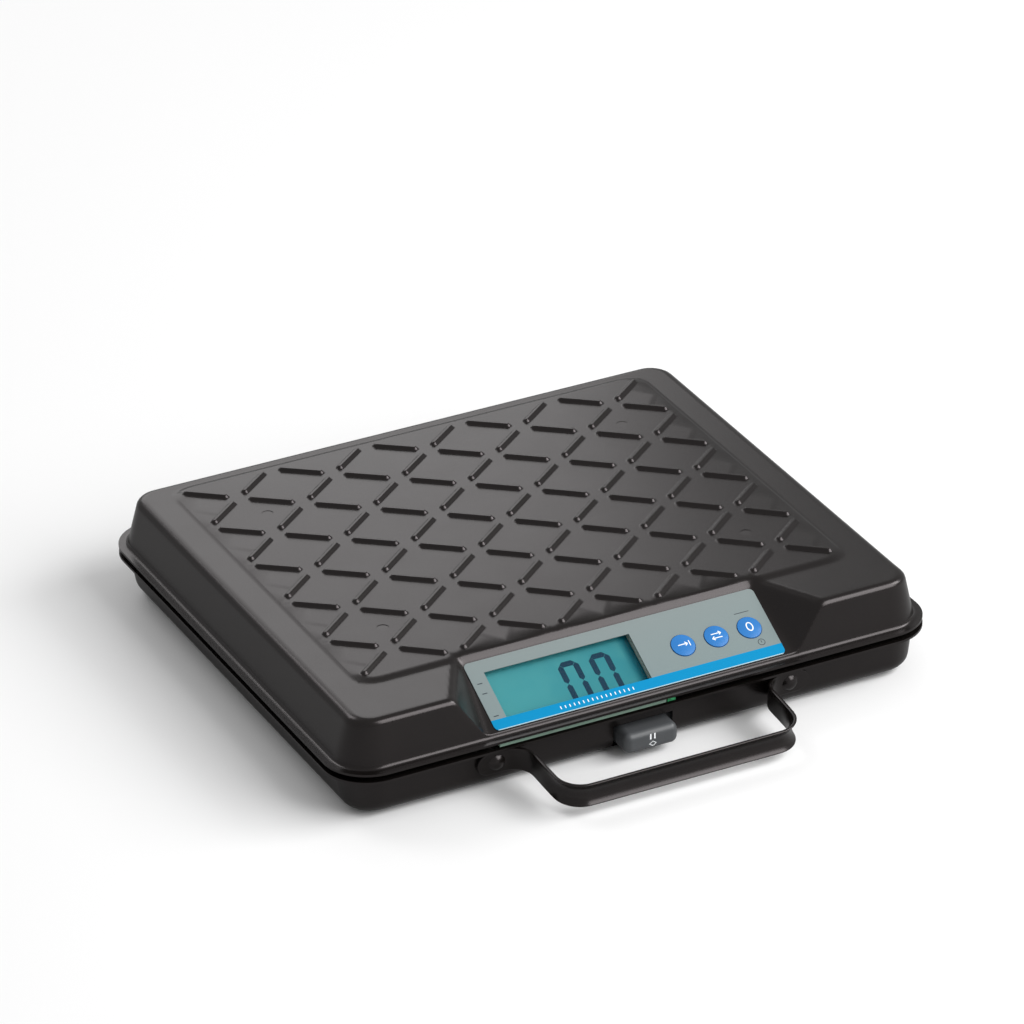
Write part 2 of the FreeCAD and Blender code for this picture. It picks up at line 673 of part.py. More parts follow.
def handle():
    """Carrying handle: one flat strap with a rounded ear at each end, riveted to the front wall."""
    half = STRAP_T / 2
    outer, outer_ear, outer_bar = strap_path_edges(half)
    inner, inner_ear, inner_bar = strap_path_edges(-half)
    ear_end_x = EAR_CENTRE_HALF
    edges = [Part.LineSegment(V(ear_end_x, outer_ear.y, 0), outer_ear).toShape()] + outer
    edges += [Part.LineSegment(outer_bar, V(0, outer_bar.y, 0)).toShape()]
    edges += [Part.LineSegment(V(0, outer_bar.y, 0), V(0, inner_bar.y, 0)).toShape()]
    edges += [Part.LineSegment(V(0, inner_bar.y, 0), inner_bar).toShape()] + inner
    edges += [Part.LineSegment(inner_ear, V(ear_end_x, inner_ear.y, 0)).toShape()]
    edges += [Part.LineSegment(V(ear_end_x, inner_ear.y, 0), V(ear_end_x, outer_ear.y, 0)).toShape()]
    face = Part.Face(Part.Wire(Part.__sortEdges__(edges)))
    side = face.extrude(V(0, 0, STRAP_W))
    side.translate(V(0, 0, -STRAP_W / 2))
    ear = rod(STRAP_W / 2, V(ear_end_x, -STRAP_T, 0), V(ear_end_x, 0, 0))
    side = side.fuse(ear)
    strap = side.fuse(mirrored(side)).removeSplitter()
    for x in (-RIVET_HALF, RIVET_HALF):
        strap = strap.cut(rod(RIVET_HOLE_R, V(x, -STRAP_T - 1, 0), V(x, 1, 0)))
    return on_front_wall(strap)


def handle_rivets():
    """Domed rivets through each ear and the pan's wall, clenched inside."""
    rivets = []
    ball_r = (RIVET_HEAD_R ** 2 + RIVET_HEAD_H ** 2) / (2 * RIVET_HEAD_H)
    for x in (-RIVET_HALF, RIVET_HALF):
        ball = Part.makeSphere(ball_r, V(x, -STRAP_T - RIVET_HEAD_H + ball_r, 0))
        head = ball.common(rod(RIVET_HEAD_R, V(x, -STRAP_T - 4, 0), V(x, -STRAP_T, 0)))
        inside = SHEET / math.cos(math.radians(PAN_WALL_LEAN)) + 0.05
        shank = rod(RIVET_SHANK_R, V(x, -STRAP_T, 0), V(x, inside + 0.3, 0))
        tail = rod(3.8, V(x, inside, 0), V(x, inside + 1.4, 0))
        rivets.append(on_front_wall(head.fuse(shank).fuse(tail).removeSplitter()))
    return rivets


def cell_at(x, y_free, towards):
    """A load cell from its free end, at a stud, to its fixed end further along the rail."""
    start = y_free - towards * CELL_END
    end = start + towards * CELL_LENGTH
    y = (min(start, end), max(start, end))
    half = CELL_SIZE / 2
    z = (CELL_BOTTOM_Z, CELL_BOTTOM_Z + CELL_SIZE)
    body = box((x - half, x + half), y, z)
    mid_z = CELL_BOTTOM_Z + half
    middle = y_free + towards * 22.0
    for shift in (-5.0, 5.0):
        body = body.cut(rod(4.6, V(x - 10, middle + shift, mid_z), V(x + 10, middle + shift, mid_z)))
    body = body.cut(rod(STUD_BORE_R, V(x, y_free, z[0] - 1), V(x, y_free, z[1] + 1)))
    for y_bolt in bolt_ys(y_free, towards):
        body = body.cut(rod(STUD_BORE_R, V(x, y_bolt, z[0] - 1), V(x, y_bolt, z[1] + 1)))
    return body


def bolt_ys(y_free, towards):
    end = y_free + towards * (CELL_LENGTH - CELL_END)
    return [end - towards * CELL_END, end - towards * (CELL_END + 12.0)]


def cell_places():
    """(x, y of the free end, direction along Y to the fixed end) for every load cell."""
    return [(x, y, 1 if y < STUD_CENTRE_Y else -1) for x, y in stud_places()]


def load_cells():
    return [cell_at(x, y, towards) for x, y, towards in cell_places()]


def cell_shims():
    """Plates that lift each load cell clear of its rail, so that its free end can bend."""
    shims = []
    for x, y, towards in cell_places():
        ys = bolt_ys(y, towards)
        low, high = min(ys) - 5.5, max(ys) + 5.5
        shim = box((x - 6.3, x + 6.3), (low, high), (PAN_RAIL_TOP_Z, CELL_BOTTOM_Z))
        for y_bolt in ys:
            shim = shim.cut(rod(STUD_BORE_R, V(x, y_bolt, 10), V(x, y_bolt, 20)))
        shims.append(shim)
    return shims


def cell_bolts():
    """Socket-head bolts that hold the fixed ends to the lower rails."""
    bolts = []
    head_z = CELL_BOTTOM_Z + CELL_SIZE
    for x, y, towards in cell_places():
        for y_bolt in bolt_ys(y, towards):
            head = rod(3.5, V(x, y_bolt, head_z), V(x, y_bolt, head_z + 4.0))
            head = head.cut(rod(1.7, V(x, y_bolt, head_z + 2.0), V(x, y_bolt, head_z + 5.0)))
            shank = rod(STUD_SHANK_R, V(x, y_bolt, PAN_RAIL_TOP_Z - 5.5), V(x, y_bolt, head_z))
            bolts.append(head.fuse(shank).removeSplitter())
    return bolts


def cell_nuts():
    """Square weld nuts under the lower rails."""
    nuts = []
    top = PAN_RAIL_TOP_Z - RAIL_T
    for x, y, towards in cell_places():
        for y_bolt in bolt_ys(y, towards):
            nut = box((x - 3.5, x + 3.5), (y_bolt - 3.5, y_bolt + 3.5), (top - 3.2, top))
            nuts.append(nut.cut(rod(STUD_BORE_R, V(x, y_bolt, 5), V(x, y_bolt, 20))))
    return nuts


def pan_rails():
    """Lower rails of channel section on the floor of the pan."""
    rail = channel(PAN_RAIL_TOP_Z, PAN_RAIL_TOP_Z - FLOOR_Z)
    for x, y, towards in cell_places():
        for y_bolt in bolt_ys(y, towards):
            rail = rail.cut(rod(STUD_BORE_R, V(STUD_X, y_bolt, 5), V(STUD_X, y_bolt, 20)))
    return [rail, mirrored(rail)]


def hold_button():
    """Push button that stands out of the front wall, with a flange behind it."""
    body = box((-BUTTON_HALF_X, BUTTON_HALF_X), (BUTTON_FRONT_Y, BUTTON_BACK_Y), BUTTON_Z)
    front_corners = [e for e in body.Edges
                     if e.BoundBox.YMax < BUTTON_FRONT_Y + 0.01 or
                     (e.BoundBox.YLength > 1 and e.BoundBox.XLength < 0.01)]
    body = body.makeFillet(BUTTON_EDGE_R, front_corners)
    flange = box((-18.2, 18.2), (-129.3, BUTTON_BACK_Y), (6.6, 16.2))
    stem = rod(2.5, V(0, BUTTON_BACK_Y - 0.5, 11.0), V(0, -123.6, 11.0))
    return body.fuse(flange).fuse(stem).removeSplitter()


def hold_plunger():
    return rod(1.6, V(0, -123.5, 11.0), V(0, -119.6, 11.0))


def hold_switch():
    """Push switch behind the hold button."""
    body = box((-3.5, 3.5), (-121.6, -118.05), (7.5, 14.5))
    return body.cut(rod(1.68, V(0, -125, 11.0), V(0, -118.4, 11.0)))


def hold_board():
    return box((-18.0, 18.0), (-118.0, -116.4), (5.4, 16.8))


def hold_bracket():
    """Moulded guide for the hold button, screwed to the floor of the pan."""
    floor = box((-22.0, 22.0), (-121.5, -104.0), (FLOOR_Z, 5.2))
    back = box((-22.0, 22.0), (-116.3, -114.3), (5.0, 17.2))
    bracket = floor.fuse(back)
    for side in (-1, 1):
        x = sorted((side * 18.6, side * 22.0))
        bracket = bracket.fuse(box(x, (-128.0, -114.3), (7.5, 17.2)))
        bracket = bracket.fuse(box(x, (-121.5, -114.3), (5.0, 17.2)))
    for x in (-10.0, 10.0):
        bracket = bracket.cut(Part.makeCylinder(1.6, 5, V(x, -109, 2)))
    return bracket.removeSplitter()


def bracket_screws():
    """Pan-head screws of the hold bracket."""
    screws = []
    for x in (-10.0, 10.0):
        head = Part.makeCone(3.0, 2.2, 1.9, V(x, -109, 5.2), Z_AXIS)
        shank = Part.makeCylinder(1.5, 3.2, V(x, -109, 2.1))
        screws.append(head.fuse(shank).removeSplitter())
    return screws


def battery_box():
    """Moulded tub over the battery opening, open downwards, with a notch for the wires."""
    t = BAY_WALL
    outer = box((-BAY_HALF_X - t, BAY_HALF_X + t), (BAY_Y[0] - t, BAY_Y[1] + t),
                (FLOOR_Z, FLOOR_Z + BAY_DEPTH + t))
    inner = box((-BAY_HALF_X, BAY_HALF_X), BAY_Y, (FLOOR_Z - 1, FLOOR_Z + BAY_DEPTH))
    lip = box((-BAY_HALF_X - 5, BAY_HALF_X + 5), (BAY_Y[0] - 5, BAY_Y[1] + 5), (FLOOR_Z, FLOOR_Z + 1.5))
    notch = box((BAY_HALF_X - 1, BAY_HALF_X + 3), (70.5, 77.5), (13.5, 16.5))
    return outer.fuse(lip).cut(inner).cut(notch).removeSplitter()


def battery():
    """Block battery with its two terminals."""
    cell = box((-27.0, 21.5), (62.8, 89.3), (4.2, 21.7))
    cell = cell.makeFillet(1.5, [e for e in cell.Edges if e.BoundBox.XLength > 20])
    for y, radius in ((69.7, 2.8), (82.4, 3.4)):
        cell = cell.fuse(rod(radius, V(21.4, y, 13.0), V(24.0, y, 13.0)))
    return cell


def battery_snap():
    """Snap connector over the battery's terminals."""
    snap = box((21.7, 26.5), (64.5, 87.6), (8.0, 18.0))
    for y, radius in ((69.7, 2.95), (82.4, 3.55)):
        snap = snap.cut(rod(radius, V(20, y, 13.0), V(24.2, y, 13.0)))
    return snap


def battery_door():
    """Door in the floor of the pan, with a round hinge edge and a cut-out spring tongue."""
    hinge_y = BAY_Y[0] + 0.6
    hinge_z = FOOT_HEIGHT + SHEET / 2
    leaf = box((-BAY_HALF_X, BAY_HALF_X), (hinge_y, BAY_Y[1]), (FOOT_HEIGHT, FLOOR_Z))
    edge = rod(SHEET / 2, V(-BAY_HALF_X, hinge_y, hinge_z), V(BAY_HALF_X, hinge_y, hinge_z))
    door = leaf.fuse(edge)
    tongue_gap = box((-8, 8), (BAY_Y[1] - 9, BAY_Y[1] + 1), (0, 5)).cut(
        box((-7.2, 7.2), (BAY_Y[1] - 10, BAY_Y[1] + 2), (0, 5)))
    return door.cut(tongue_gap)


def junction_board():
    """Board on the floor of the pan that joins the four load cells."""
    board = box((-30.0, 30.0), (-10.0, 30.0), (9.0, 10.6))
    for x in (-26.0, 26.0):
        for y in (-6.0, 26.0):
            board = board.cut(Part.makeCylinder(1.6, 5, V(x, y, 8)))
    return board


def junction_standoffs():
    standoffs = []
    for x in (-26.0, 26.0):
        for y in (-6.0, 26.0):
            pillar = Part.makeCylinder(2.8, 9.0 - FLOOR_Z, V(x, y, FLOOR_Z))
            standoffs.append(pillar.cut(Part.makeCylinder(1.56, 6, V(x, y, 5.0))))
    return standoffs


def junction_screws():
    screws = []
    for x in (-26.0, 26.0):
        for y in (-6.0, 26.0):
            head = Part.makeCylinder(2.6, 1.8, V(x, y, 10.6))
            screws.append(head.fuse(Part.makeCylinder(1.5, 5.0, V(x, y, 5.8))).removeSplitter())
    return screws


def junction_connectors():
    """Cable sockets along two sides of the junction board, and one at the front."""
    sockets = [box((x - 3, x + 3), (y - 4, y + 4), (10.65, 16.0))
               for x in (-24.5, 24.5) for y in (3.0, 17.0)]
    return sockets + [box((-6, 6), (-9.5, -4.0), (10.65, 16.0))]


def tube_along(points, radius):
    """A round cable through straight stretches with ball joints at the bends."""
    cable = rod(radius, points[0], points[1])
    for start, end in zip(points[1:-1], points[2:]):
        cable = cable.fuse(Part.makeSphere(radius, start)).fuse(rod(radius, start, end))
    return cable.removeSplitter()


def cell_cables():
    """One cable from the fixed end of each load cell to the junction board."""
    cables = []
    for x, y, towards in cell_places():
        side = 1 if x > 0 else -1
        y_cell = bolt_ys(y, towards)[1]
        y_board = 3.0 if towards > 0 else 17.0
        cables.append(tube_along([V(side * (STUD_X - 6.5), y_cell, 20.0), V(side * 70.0, y_cell, 20.0),
                                  V(side * 45.0, y_board, 14.0), V(side * 27.7, y_board, 13.4)], 1.4))
    return cables


def display_cable():
    """Cable from the junction board up to the main board behind the display."""
    return tube_along([V(0, -9.7, 13.4), V(0, -40, 13.4), V(-30, -90, 12.0),
                       slope_point(-30, 28.5, -14.9)], 1.6)


def battery_leads():
    """Two wires from the battery snap, out of the notch in the tub, to the junction board."""
    return [tube_along([V(26.6, y, 15.0), V(40.0, y, 15.0), V(40.0, 36.0 + shift, 15.0),
                        V(10.0 + shift, 36.0 + shift, 14.0), V(10.0 + shift, 20.0, 12.2)], 0.7)
            for y, shift in ((72.0, 0.0), (76.0, 2.2))]


def dc_jack():
    """Power socket behind the right wall, with its barrel through the wall."""
    body = box((136.0, 146.5), (JACK_Y - 5, JACK_Y + 5), (JACK_Z - 5, JACK_Z + 6))
    barrel = rod(4.0, V(146.0, JACK_Y, JACK_Z), V(153.2, JACK_Y, JACK_Z))
    jack = body.fuse(barrel).cut(rod(3.1, V(143.0, JACK_Y, JACK_Z), V(156, JACK_Y, JACK_Z)))
    return jack.fuse(rod(1.0, V(142.5, JACK_Y, JACK_Z), V(151.5, JACK_Y, JACK_Z))).removeSplitter()


def jack_leads():
    """Two wires from the power socket to the junction board."""
    return [tube_along([V(135.8, JACK_Y + shift, 10.0), V(120.0, JACK_Y + shift, 10.0),
                        V(118.0, 118.0 + shift, 8.0), V(50.0, 118.0 + shift, 8.0),
                        V(50.0 + shift, 44.0, 8.0), V(22.0 + shift, 40.0, 12.0),
                        V(18.0 + shift, 24.0, 12.2)], 0.7)
            for shift in (-1.5, 1.5)]


# ---------------------------------------------------------------- output

def middle_y():
    """Middle of the whole scale along Y, from the front of the handle to the back of the rim."""
    lean = math.radians(PAN_WALL_LEAN)
    handle_front = (front_wall_y(HANDLE_Z) - (HANDLE_OUT + STRAP_T / 2) * math.cos(lean)
                    - STRAP_W / 2 * math.sin(lean))
    return (RIM_HALF_Y + handle_front) / 2


def write(name, shapes):
    """Moves a node's solids to the final origin and exports them as one STEP file."""
    solids = shapes if isinstance(shapes, list) else [shapes]
    shape = solids[0] if len(solids) == 1 else Part.makeCompound(solids)
    shape.translate(V(0, -middle_y(), 0))
    count = len(shape.Solids)
    bounds = shape.BoundBox
    print(f"{name:20s} solids {count:3d} valid {shape.isValid()} "
          f"z {bounds.ZMin:7.2f} {bounds.ZMax:7.2f} volume {shape.Volume:10.1f}")
    shape.exportStep(f"parts/{name}.step")


PIECES = {
    "base_pan": base_pan, "rubber_feet": rubber_feet, "handle": handle,
    "handle_rivets": handle_rivets, "pan_rails": pan_rails, "load_cells": load_cells,
    "cell_shims": cell_shims, "cell_bolts": cell_bolts, "cell_nuts": cell_nuts,
    "junction_board": junction_board, "junction_standoffs": junction_standoffs,
    "junction_screws": junction_screws, "junction_connectors": junction_connectors,
    "cell_cables": cell_cables, "display_cable": display_cable,
    "battery_box": battery_box, "battery": battery, "battery_snap": battery_snap,
    "battery_leads": battery_leads, "battery_door": battery_door,
    "dc_jack": dc_jack, "jack_leads": jack_leads,
    "hold_button": hold_button, "hold_plunger": hold_plunger, "hold_switch": hold_switch,
    "hold_board": hold_board, "hold_bracket": hold_bracket, "bracket_screws": bracket_screws,
    "platform": platform, "platform_studs": platform_studs, "platform_rails": platform_rails,
    "platform_posts": platform_posts, "label_overlay": label_overlay,
    "display_window": display_window, "lcd_frame": lcd_frame, "lcd_glass": lcd_glass,
    "lcd_backlight": lcd_backlight, "main_board": main_board, "board_chips": board_chips,
    "board_connector": board_connector, "board_header": board_header, "key_board": key_board,
    "key_switches": key_switches, "display_bracket": display_bracket,
    "display_studs": display_studs, "display_nuts": display_nuts,
}

os.makedirs("parts", exist_ok=True)
for piece_name, make in PIECES.items():
    write(piece_name, make())
for key_name, key_x in KEY_X.items():
    write(key_name, key_cap(key_x))
    write(key_name + "_plunger", key_plunger(key_x))
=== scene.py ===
import json
import math

import bmesh
import bpy
import numpy as np
from mathutils import Matrix, Vector


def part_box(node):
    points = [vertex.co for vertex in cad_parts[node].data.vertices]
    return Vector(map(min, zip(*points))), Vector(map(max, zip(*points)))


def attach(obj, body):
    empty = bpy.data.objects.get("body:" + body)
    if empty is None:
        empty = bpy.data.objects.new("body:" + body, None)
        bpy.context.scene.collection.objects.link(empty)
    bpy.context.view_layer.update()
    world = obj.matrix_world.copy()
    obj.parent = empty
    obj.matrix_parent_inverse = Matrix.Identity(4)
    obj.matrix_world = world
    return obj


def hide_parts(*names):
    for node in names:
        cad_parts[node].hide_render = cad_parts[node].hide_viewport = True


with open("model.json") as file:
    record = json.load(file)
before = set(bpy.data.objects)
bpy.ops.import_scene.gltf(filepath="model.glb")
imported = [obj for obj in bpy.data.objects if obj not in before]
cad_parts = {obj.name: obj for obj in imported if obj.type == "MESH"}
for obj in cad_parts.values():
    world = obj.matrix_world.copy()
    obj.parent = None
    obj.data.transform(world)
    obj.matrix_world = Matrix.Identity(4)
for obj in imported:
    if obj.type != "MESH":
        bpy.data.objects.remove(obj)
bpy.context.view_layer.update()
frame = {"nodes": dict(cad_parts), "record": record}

# Bench scale, looks only. Shapes are worked out in millimetres in the frame of the CAD model
# and scaled once, when a mesh is made. +Z is up and the display faces -Y.

MM = 0.001

# Pressed platform: sheet, distances in from the rim edge, bend radii
SHEET = 1.2
RIM_CORNER = 23.0
FOOT_INSET = 4.5
SHOULDER_INSET = 10.7
FRONT_SHOULDER_INSET = 7.6
SHOULDER_Z = 52.1
BEND_R = 5.0
FRONT_BEND_R = 3.6
FOOT_R = 2.3
EDGE_ROUNDING = 0.3

# Raised panel and its woven bars. Places along Y are measured from the middle of the rim.
PANEL_HALF_X = 132.0
PANEL_HALF_Y = 110.7
PANEL_FROM_RIM = 10.7
PANEL_CORNER = 13.0
PANEL_SLOPE = 3.6
PANEL_RISE = 0.9
PANEL_CROWN = 1.4
BAR_COUNT = 10
BAR_PITCH_X = 25.95
BAR_PITCH_Y = 21.18
BARS_FROM_RIM = 11.24
BAR_ANGLE = 39.2
BAR_HALF_LENGTH = 9.8
BAR_FLAT = 0.45
BAR_RINGS = (0.45, 0.7, 0.95, 1.2, 1.45, 1.7, 1.95, 2.2, 2.4, 2.9)
BAR_FOOT = 2.4
BAR_HEIGHT = 1.6

# Mesh counts: nodes along each cell side, and rings from the panel out to the bend
CELL_NODES_X = 13
CELL_NODES_Y = 11
SHOULDER_RINGS = 22
WALL_RINGS = 12
BEND_RINGS = 6
FOOT_RINGS = 4

# The front wall's profile takes over from the side walls' near the front corners
FRONT_BLEND_FROM = 30.0
FRONT_BLEND_OVER = 20.0

# Cutters for the openings: how far they start below the surface and how tall they are
CUT_BELOW = 4.0
CUT_TALL = 7.0
STUD_CUT_TALL = 9.0
STUD_R = 2.85
STUD_GAP = 0.05

# Display recess and its label: T runs down the slope from the label's top edge
RECESS_TILT = math.radians(28.0)
BACK_TILT = math.radians(58.0)
BACK_T = -0.6
LABEL_T = 0.4
CHEEK_X = 80.8
CHEEK_FROM_RIM = -98.8
CHEEK_Z = 52.1
CHEEK_RISE_X = 1.3468
CHEEK_RISE_Y = 0.7223
BACK_BLEND = 3.0
CHEEK_BLEND = 2.6
CORNER_BLEND = 2.2
WINDOW_X = (-69.4, 7.6)
WINDOW_T = (6.9, 33.4)
OPENING_MARGIN = 1.4
BAND_T = 33.3
KEY_NODES = ("key_tare", "key_units", "key_zero")
KEY_HOLE_R = 7.0
KEY_DOME_R = 30.0
CHEEK_BLEND_OVER = 4.0

# Printed marks: thickness and widths of lines, places as (across, down the slope)
PRINT_LIFT = 0.03
MARK_LIFT = 0.05
RIBBON_STEP = 0.6
POINTER_X = (-75.2, -72.6)
POINTER_T = (12.4, 18.2, 31.4)
POINTER_W = 0.5
RING_PLACE = (68.4, 30.0)
RING_R = 1.7
RING_LINE_W = 0.32
RING_HAND_T = (29.0, 30.4)
RULE_X = (62.2, 70.0)
RULE_T = 11.6
RULE_W = 0.35
TICK_COUNT = 17
TICK_FIRST_X = -42.0
TICK_PITCH = 2.4
TICK_T = (35.4, 37.0)
TICK_W = 0.5
PICTOGRAM_W = 0.5
NOUGHT_HALF = (1.5, 2.3)
NOUGHT_W = 0.6

# Hold button: height of its cap, and its printed bars and diamond
HOLD_TOP_Z = 14.6
HOLD_MARK_RISE = 0.4
HOLD_BAR_X = 1.1
HOLD_BAR_Z = (0.2, 3.2)
HOLD_BAR_W = 0.8
DIAMOND = [(0.0, -1.0), (1.8, -2.2), (0.0, -3.4), (-1.8, -2.2)]
DIAMOND_W = 0.3

# Digits on the glass
DIGIT_W = 8.1
DIGIT_H = 21.6
DIGIT_TOP_T = 11.5
DIGIT_LEFT_X = (-32.0, -15.6)
DIGIT_STROKE = 2.9
DIGIT_GAP = 0.12
DIGIT_CLEARANCE = 0.02
TICK_ON_GLASS = ((-70.2, 17.3), (-68.4, 17.3))
TICK_ON_GLASS_W = 1.2

# Handle strap
STRAP_W = 12.5
STRAP_T = 1.9
STRAP_WALL_R = 10.8
STRAP_CORNER_R = 13.0
STRAP_HALF = 63.2
EAR_R = 6.25
STRAP_CURL = 3.0
STRAP_OUT = 44.5
STRAP_SECTION = 9
CURL_FROM = 20.0
CURL_OVER = 20.0
EAR_START = 0.12
WALL_LEAN = math.radians(4.46)


# ---------------------------------------------------------------- numbers from the frame

def box_mm(node):
    low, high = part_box(node)
    return np.array(low) / MM, np.array(high) / MM


def box_centre(node):
    low, high = box_mm(node)
    return (low + high) / 2


def smooth_min(a, b, blend):
    """The lower of two heights, with a round ridge where they cross."""
    overlap = np.clip(blend - np.abs(a - b), 0, None) / blend
    return np.minimum(a, b) - overlap ** 2 * blend / 4


def smooth_max(a, b, blend):
    return -smooth_min(-a, -b, blend)


def smooth_step(t):
    t = np.clip(t, 0, 1)
    return t * t * (3 - 2 * t)


rim_low, rim_high = box_mm("platform")
RIM_HALF_X = rim_high[0]
RIM_FRONT_Y = rim_low[1]
RIM_BACK_Y = rim_high[1]
RIM_CENTRE_Y = (RIM_FRONT_Y + RIM_BACK_Y) / 2
PANEL_Y = RIM_CENTRE_Y + PANEL_FROM_RIM
BAR_CENTRE_Y = RIM_CENTRE_Y + BARS_FROM_RIM
RIM_TOP_Z = rim_low[2] + SHEET

label_low, label_high = box_mm("label_overlay")
LABEL_TOP = np.array([0.0, label_high[1] - LABEL_T * math.sin(RECESS_TILT), label_high[2]])
DOWN_SLOPE = np.array([0.0, -math.cos(RECESS_TILT), -math.sin(RECESS_TILT)])
OFF_SLOPE = np.array([0.0, -math.sin(RECESS_TILT), math.cos(RECESS_TILT)])
LABEL_L = (label_high[2] - label_low[2] - LABEL_T * math.cos(RECESS_TILT)) / math.sin(RECESS_TILT)


def on_label(x, t, n):
    """A point from label coordinates: across, down the slope from the top edge, off the slope."""
    return LABEL_TOP + np.array([x, 0.0, 0.0]) + t * DOWN_SLOPE + n * OFF_SLOPE


def label_place(node):
    """Where a node's middle is, in label coordinates."""
    offset = box_centre(node) - LABEL_TOP
    return offset[0], offset @ DOWN_SLOPE, offset @ OFF_SLOPE


KEY_PLACES = {node: label_place(node) for node in KEY_NODES}


# ---------------------------------------------------------------- meshes

class Shape:
    """The points and faces of one mesh, in millimetres."""

    def __init__(self):
        self.points = []
        self.faces = []

    def add(self, points):
        """Adds points and returns their numbers."""
        start = len(self.points)
        self.points.extend(map(tuple, points))
        return list(range(start, len(self.points)))

    def band(self, first, second):
        """Joins two closed rings of the same length."""
        for a, b, c, d in zip(first, first[1:] + first[:1], second[1:] + second[:1], second):
            self.faces.append((a, b, c, d))

    def strip(self, rings):
        for first, second in zip(rings, rings[1:]):
            self.band(first, second)

    def cap(self, ring):
        self.faces.append(tuple(ring))

    def build(self, name, material, body, smooth=True):
        mesh = bpy.data.meshes.new(name)
        mesh.from_pydata([tuple(c * MM for c in p) for p in self.points], [], self.faces)
        work = bmesh.new()
        work.from_mesh(mesh)
        bmesh.ops.recalc_face_normals(work, faces=work.faces)
        work.to_mesh(mesh)
        work.free()
        if smooth:
            mesh.shade_smooth()
        else:
            mesh.shade_flat()
        mesh.materials.append(material)
        piece = bpy.data.objects.new(name, mesh)
        bpy.context.scene.collection.objects.link(piece)
        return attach(piece, body)


def apply_modifiers(piece):
    """Turns a piece's modifiers into mesh."""
    graph = bpy.context.evaluated_depsgraph_get()
    mesh = bpy.data.meshes.new_from_object(piece.evaluated_get(graph), depsgraph=graph)
    piece.modifiers.clear()
    piece.data = mesh


def set_sharp(piece, degrees):
    """Smooth shading that keeps edges sharper than an angle and leaves large faces flat."""
    piece.data.shade_smooth()
    piece.data.set_sharp_from_angle(angle=math.radians(degrees))
    weighted = piece.modifiers.new("weighted", "WEIGHTED_NORMAL")
    weighted.keep_sharp = True
    weighted.mode = "FACE_AREA"


# ---------------------------------------------------------------- platform

def side_points(half, radius, count):
    """Places along one side of a rounded rectangle, from the middle of one corner to the middle
    of the next, and how far each is set back by the corner."""
    length = 2 * (half - radius) + math.pi * radius / 2
    from_middle = (np.arange(count) / count - 0.5) * length
    turn = np.clip(np.abs(from_middle) - (half - radius), 0, None) / max(radius, 1e-6)
    along = np.where(turn > 0, half - radius + radius * np.sin(turn), np.abs(from_middle))
    return np.sign(from_middle) * along, radius * (1 - np.cos(turn))


def outline(half_x, y_low, y_high, radius):
    """Points round a rounded rectangle: front, right, back, left."""
    half_y, mid_y = (y_high - y_low) / 2, (y_high + y_low) / 2
    x, set_x = side_points(half_x, radius, BAR_COUNT * CELL_NODES_X)
    y, set_y = side_points(half_y, radius, BAR_COUNT * CELL_NODES_Y)
    front = np.c_[x, y_low + set_x]
    right = np.c_[half_x - set_y, mid_y + y]
    back = np.c_[-x, y_high - set_x]
    left = np.c_[-half_x + set_y, mid_y - y]
    return np.vstack([front, right, back, left])


def rim_outline(inset, front_inset):
    return outline(RIM_HALF_X - inset, RIM_FRONT_Y + front_inset, RIM_BACK_Y - inset,
                   RIM_CORNER - inset)


def recess_z(x, y):
    """Height of the display recess: its sloping floor, steep back wall and two flared cheeks."""
    floor_point = LABEL_TOP - LABEL_T * OFF_SLOPE
    back_point = floor_point + BACK_T * DOWN_SLOPE
    incline = floor_point[2] + (y - floor_point[1]) * math.tan(RECESS_TILT)
    back = back_point[2] + (y - back_point[1]) * math.tan(BACK_TILT)
    floor = smooth_max(incline, back, CORNER_BLEND)
    cheek = (CHEEK_Z + CHEEK_RISE_X * (np.abs(x) - CHEEK_X)
             + CHEEK_RISE_Y * (y - RIM_CENTRE_Y - CHEEK_FROM_RIM))
    return smooth_max(floor, cheek, CORNER_BLEND), cheek - floor


def with_recess(x, y, z):
    """Lowers a height into the recess, with a round ridge along its edge."""
    recess, beyond_floor = recess_z(x, y)
    blend = BACK_BLEND + (CHEEK_BLEND - BACK_BLEND) * smooth_step(beyond_floor / CHEEK_BLEND_OVER)
    return np.maximum(smooth_min(z, recess, blend), np.minimum(z, RIM_TOP_Z))


def top_z(x, y):
    """Height of the shoulder and of the crowned panel, without bars."""
    corner_x = np.abs(x) - (PANEL_HALF_X - PANEL_CORNER)
    corner_y = np.abs(y - PANEL_Y) - (PANEL_HALF_Y - PANEL_CORNER)
    outside = np.hypot(np.clip(corner_x, 0, None), np.clip(corner_y, 0, None))
    inside = PANEL_CORNER - outside - np.minimum(np.maximum(corner_x, corner_y), 0)
    u = np.clip(x / PANEL_HALF_X, -1, 1)
    v = np.clip((y - PANEL_Y) / PANEL_HALF_Y, -1, 1)
    crown = PANEL_CROWN * (1 - u * u) * (1 - v * v)
    return SHOULDER_Z + PANEL_RISE * smooth_step(inside / PANEL_SLOPE) + crown


def top_points(places, lift=0.0):
    x, y = places[:, 0], places[:, 1]
    return np.c_[x, y, with_recess(x, y, top_z(x, y) + lift)]


def bar_lift(distance):
    """Height of a bar's surface at a distance from its middle line."""
    t = min(1.0, (distance - BAR_FLAT) / (BAR_FOOT - BAR_FLAT))
    return BAR_HEIGHT * (1 + math.cos(math.pi * t)) / 2


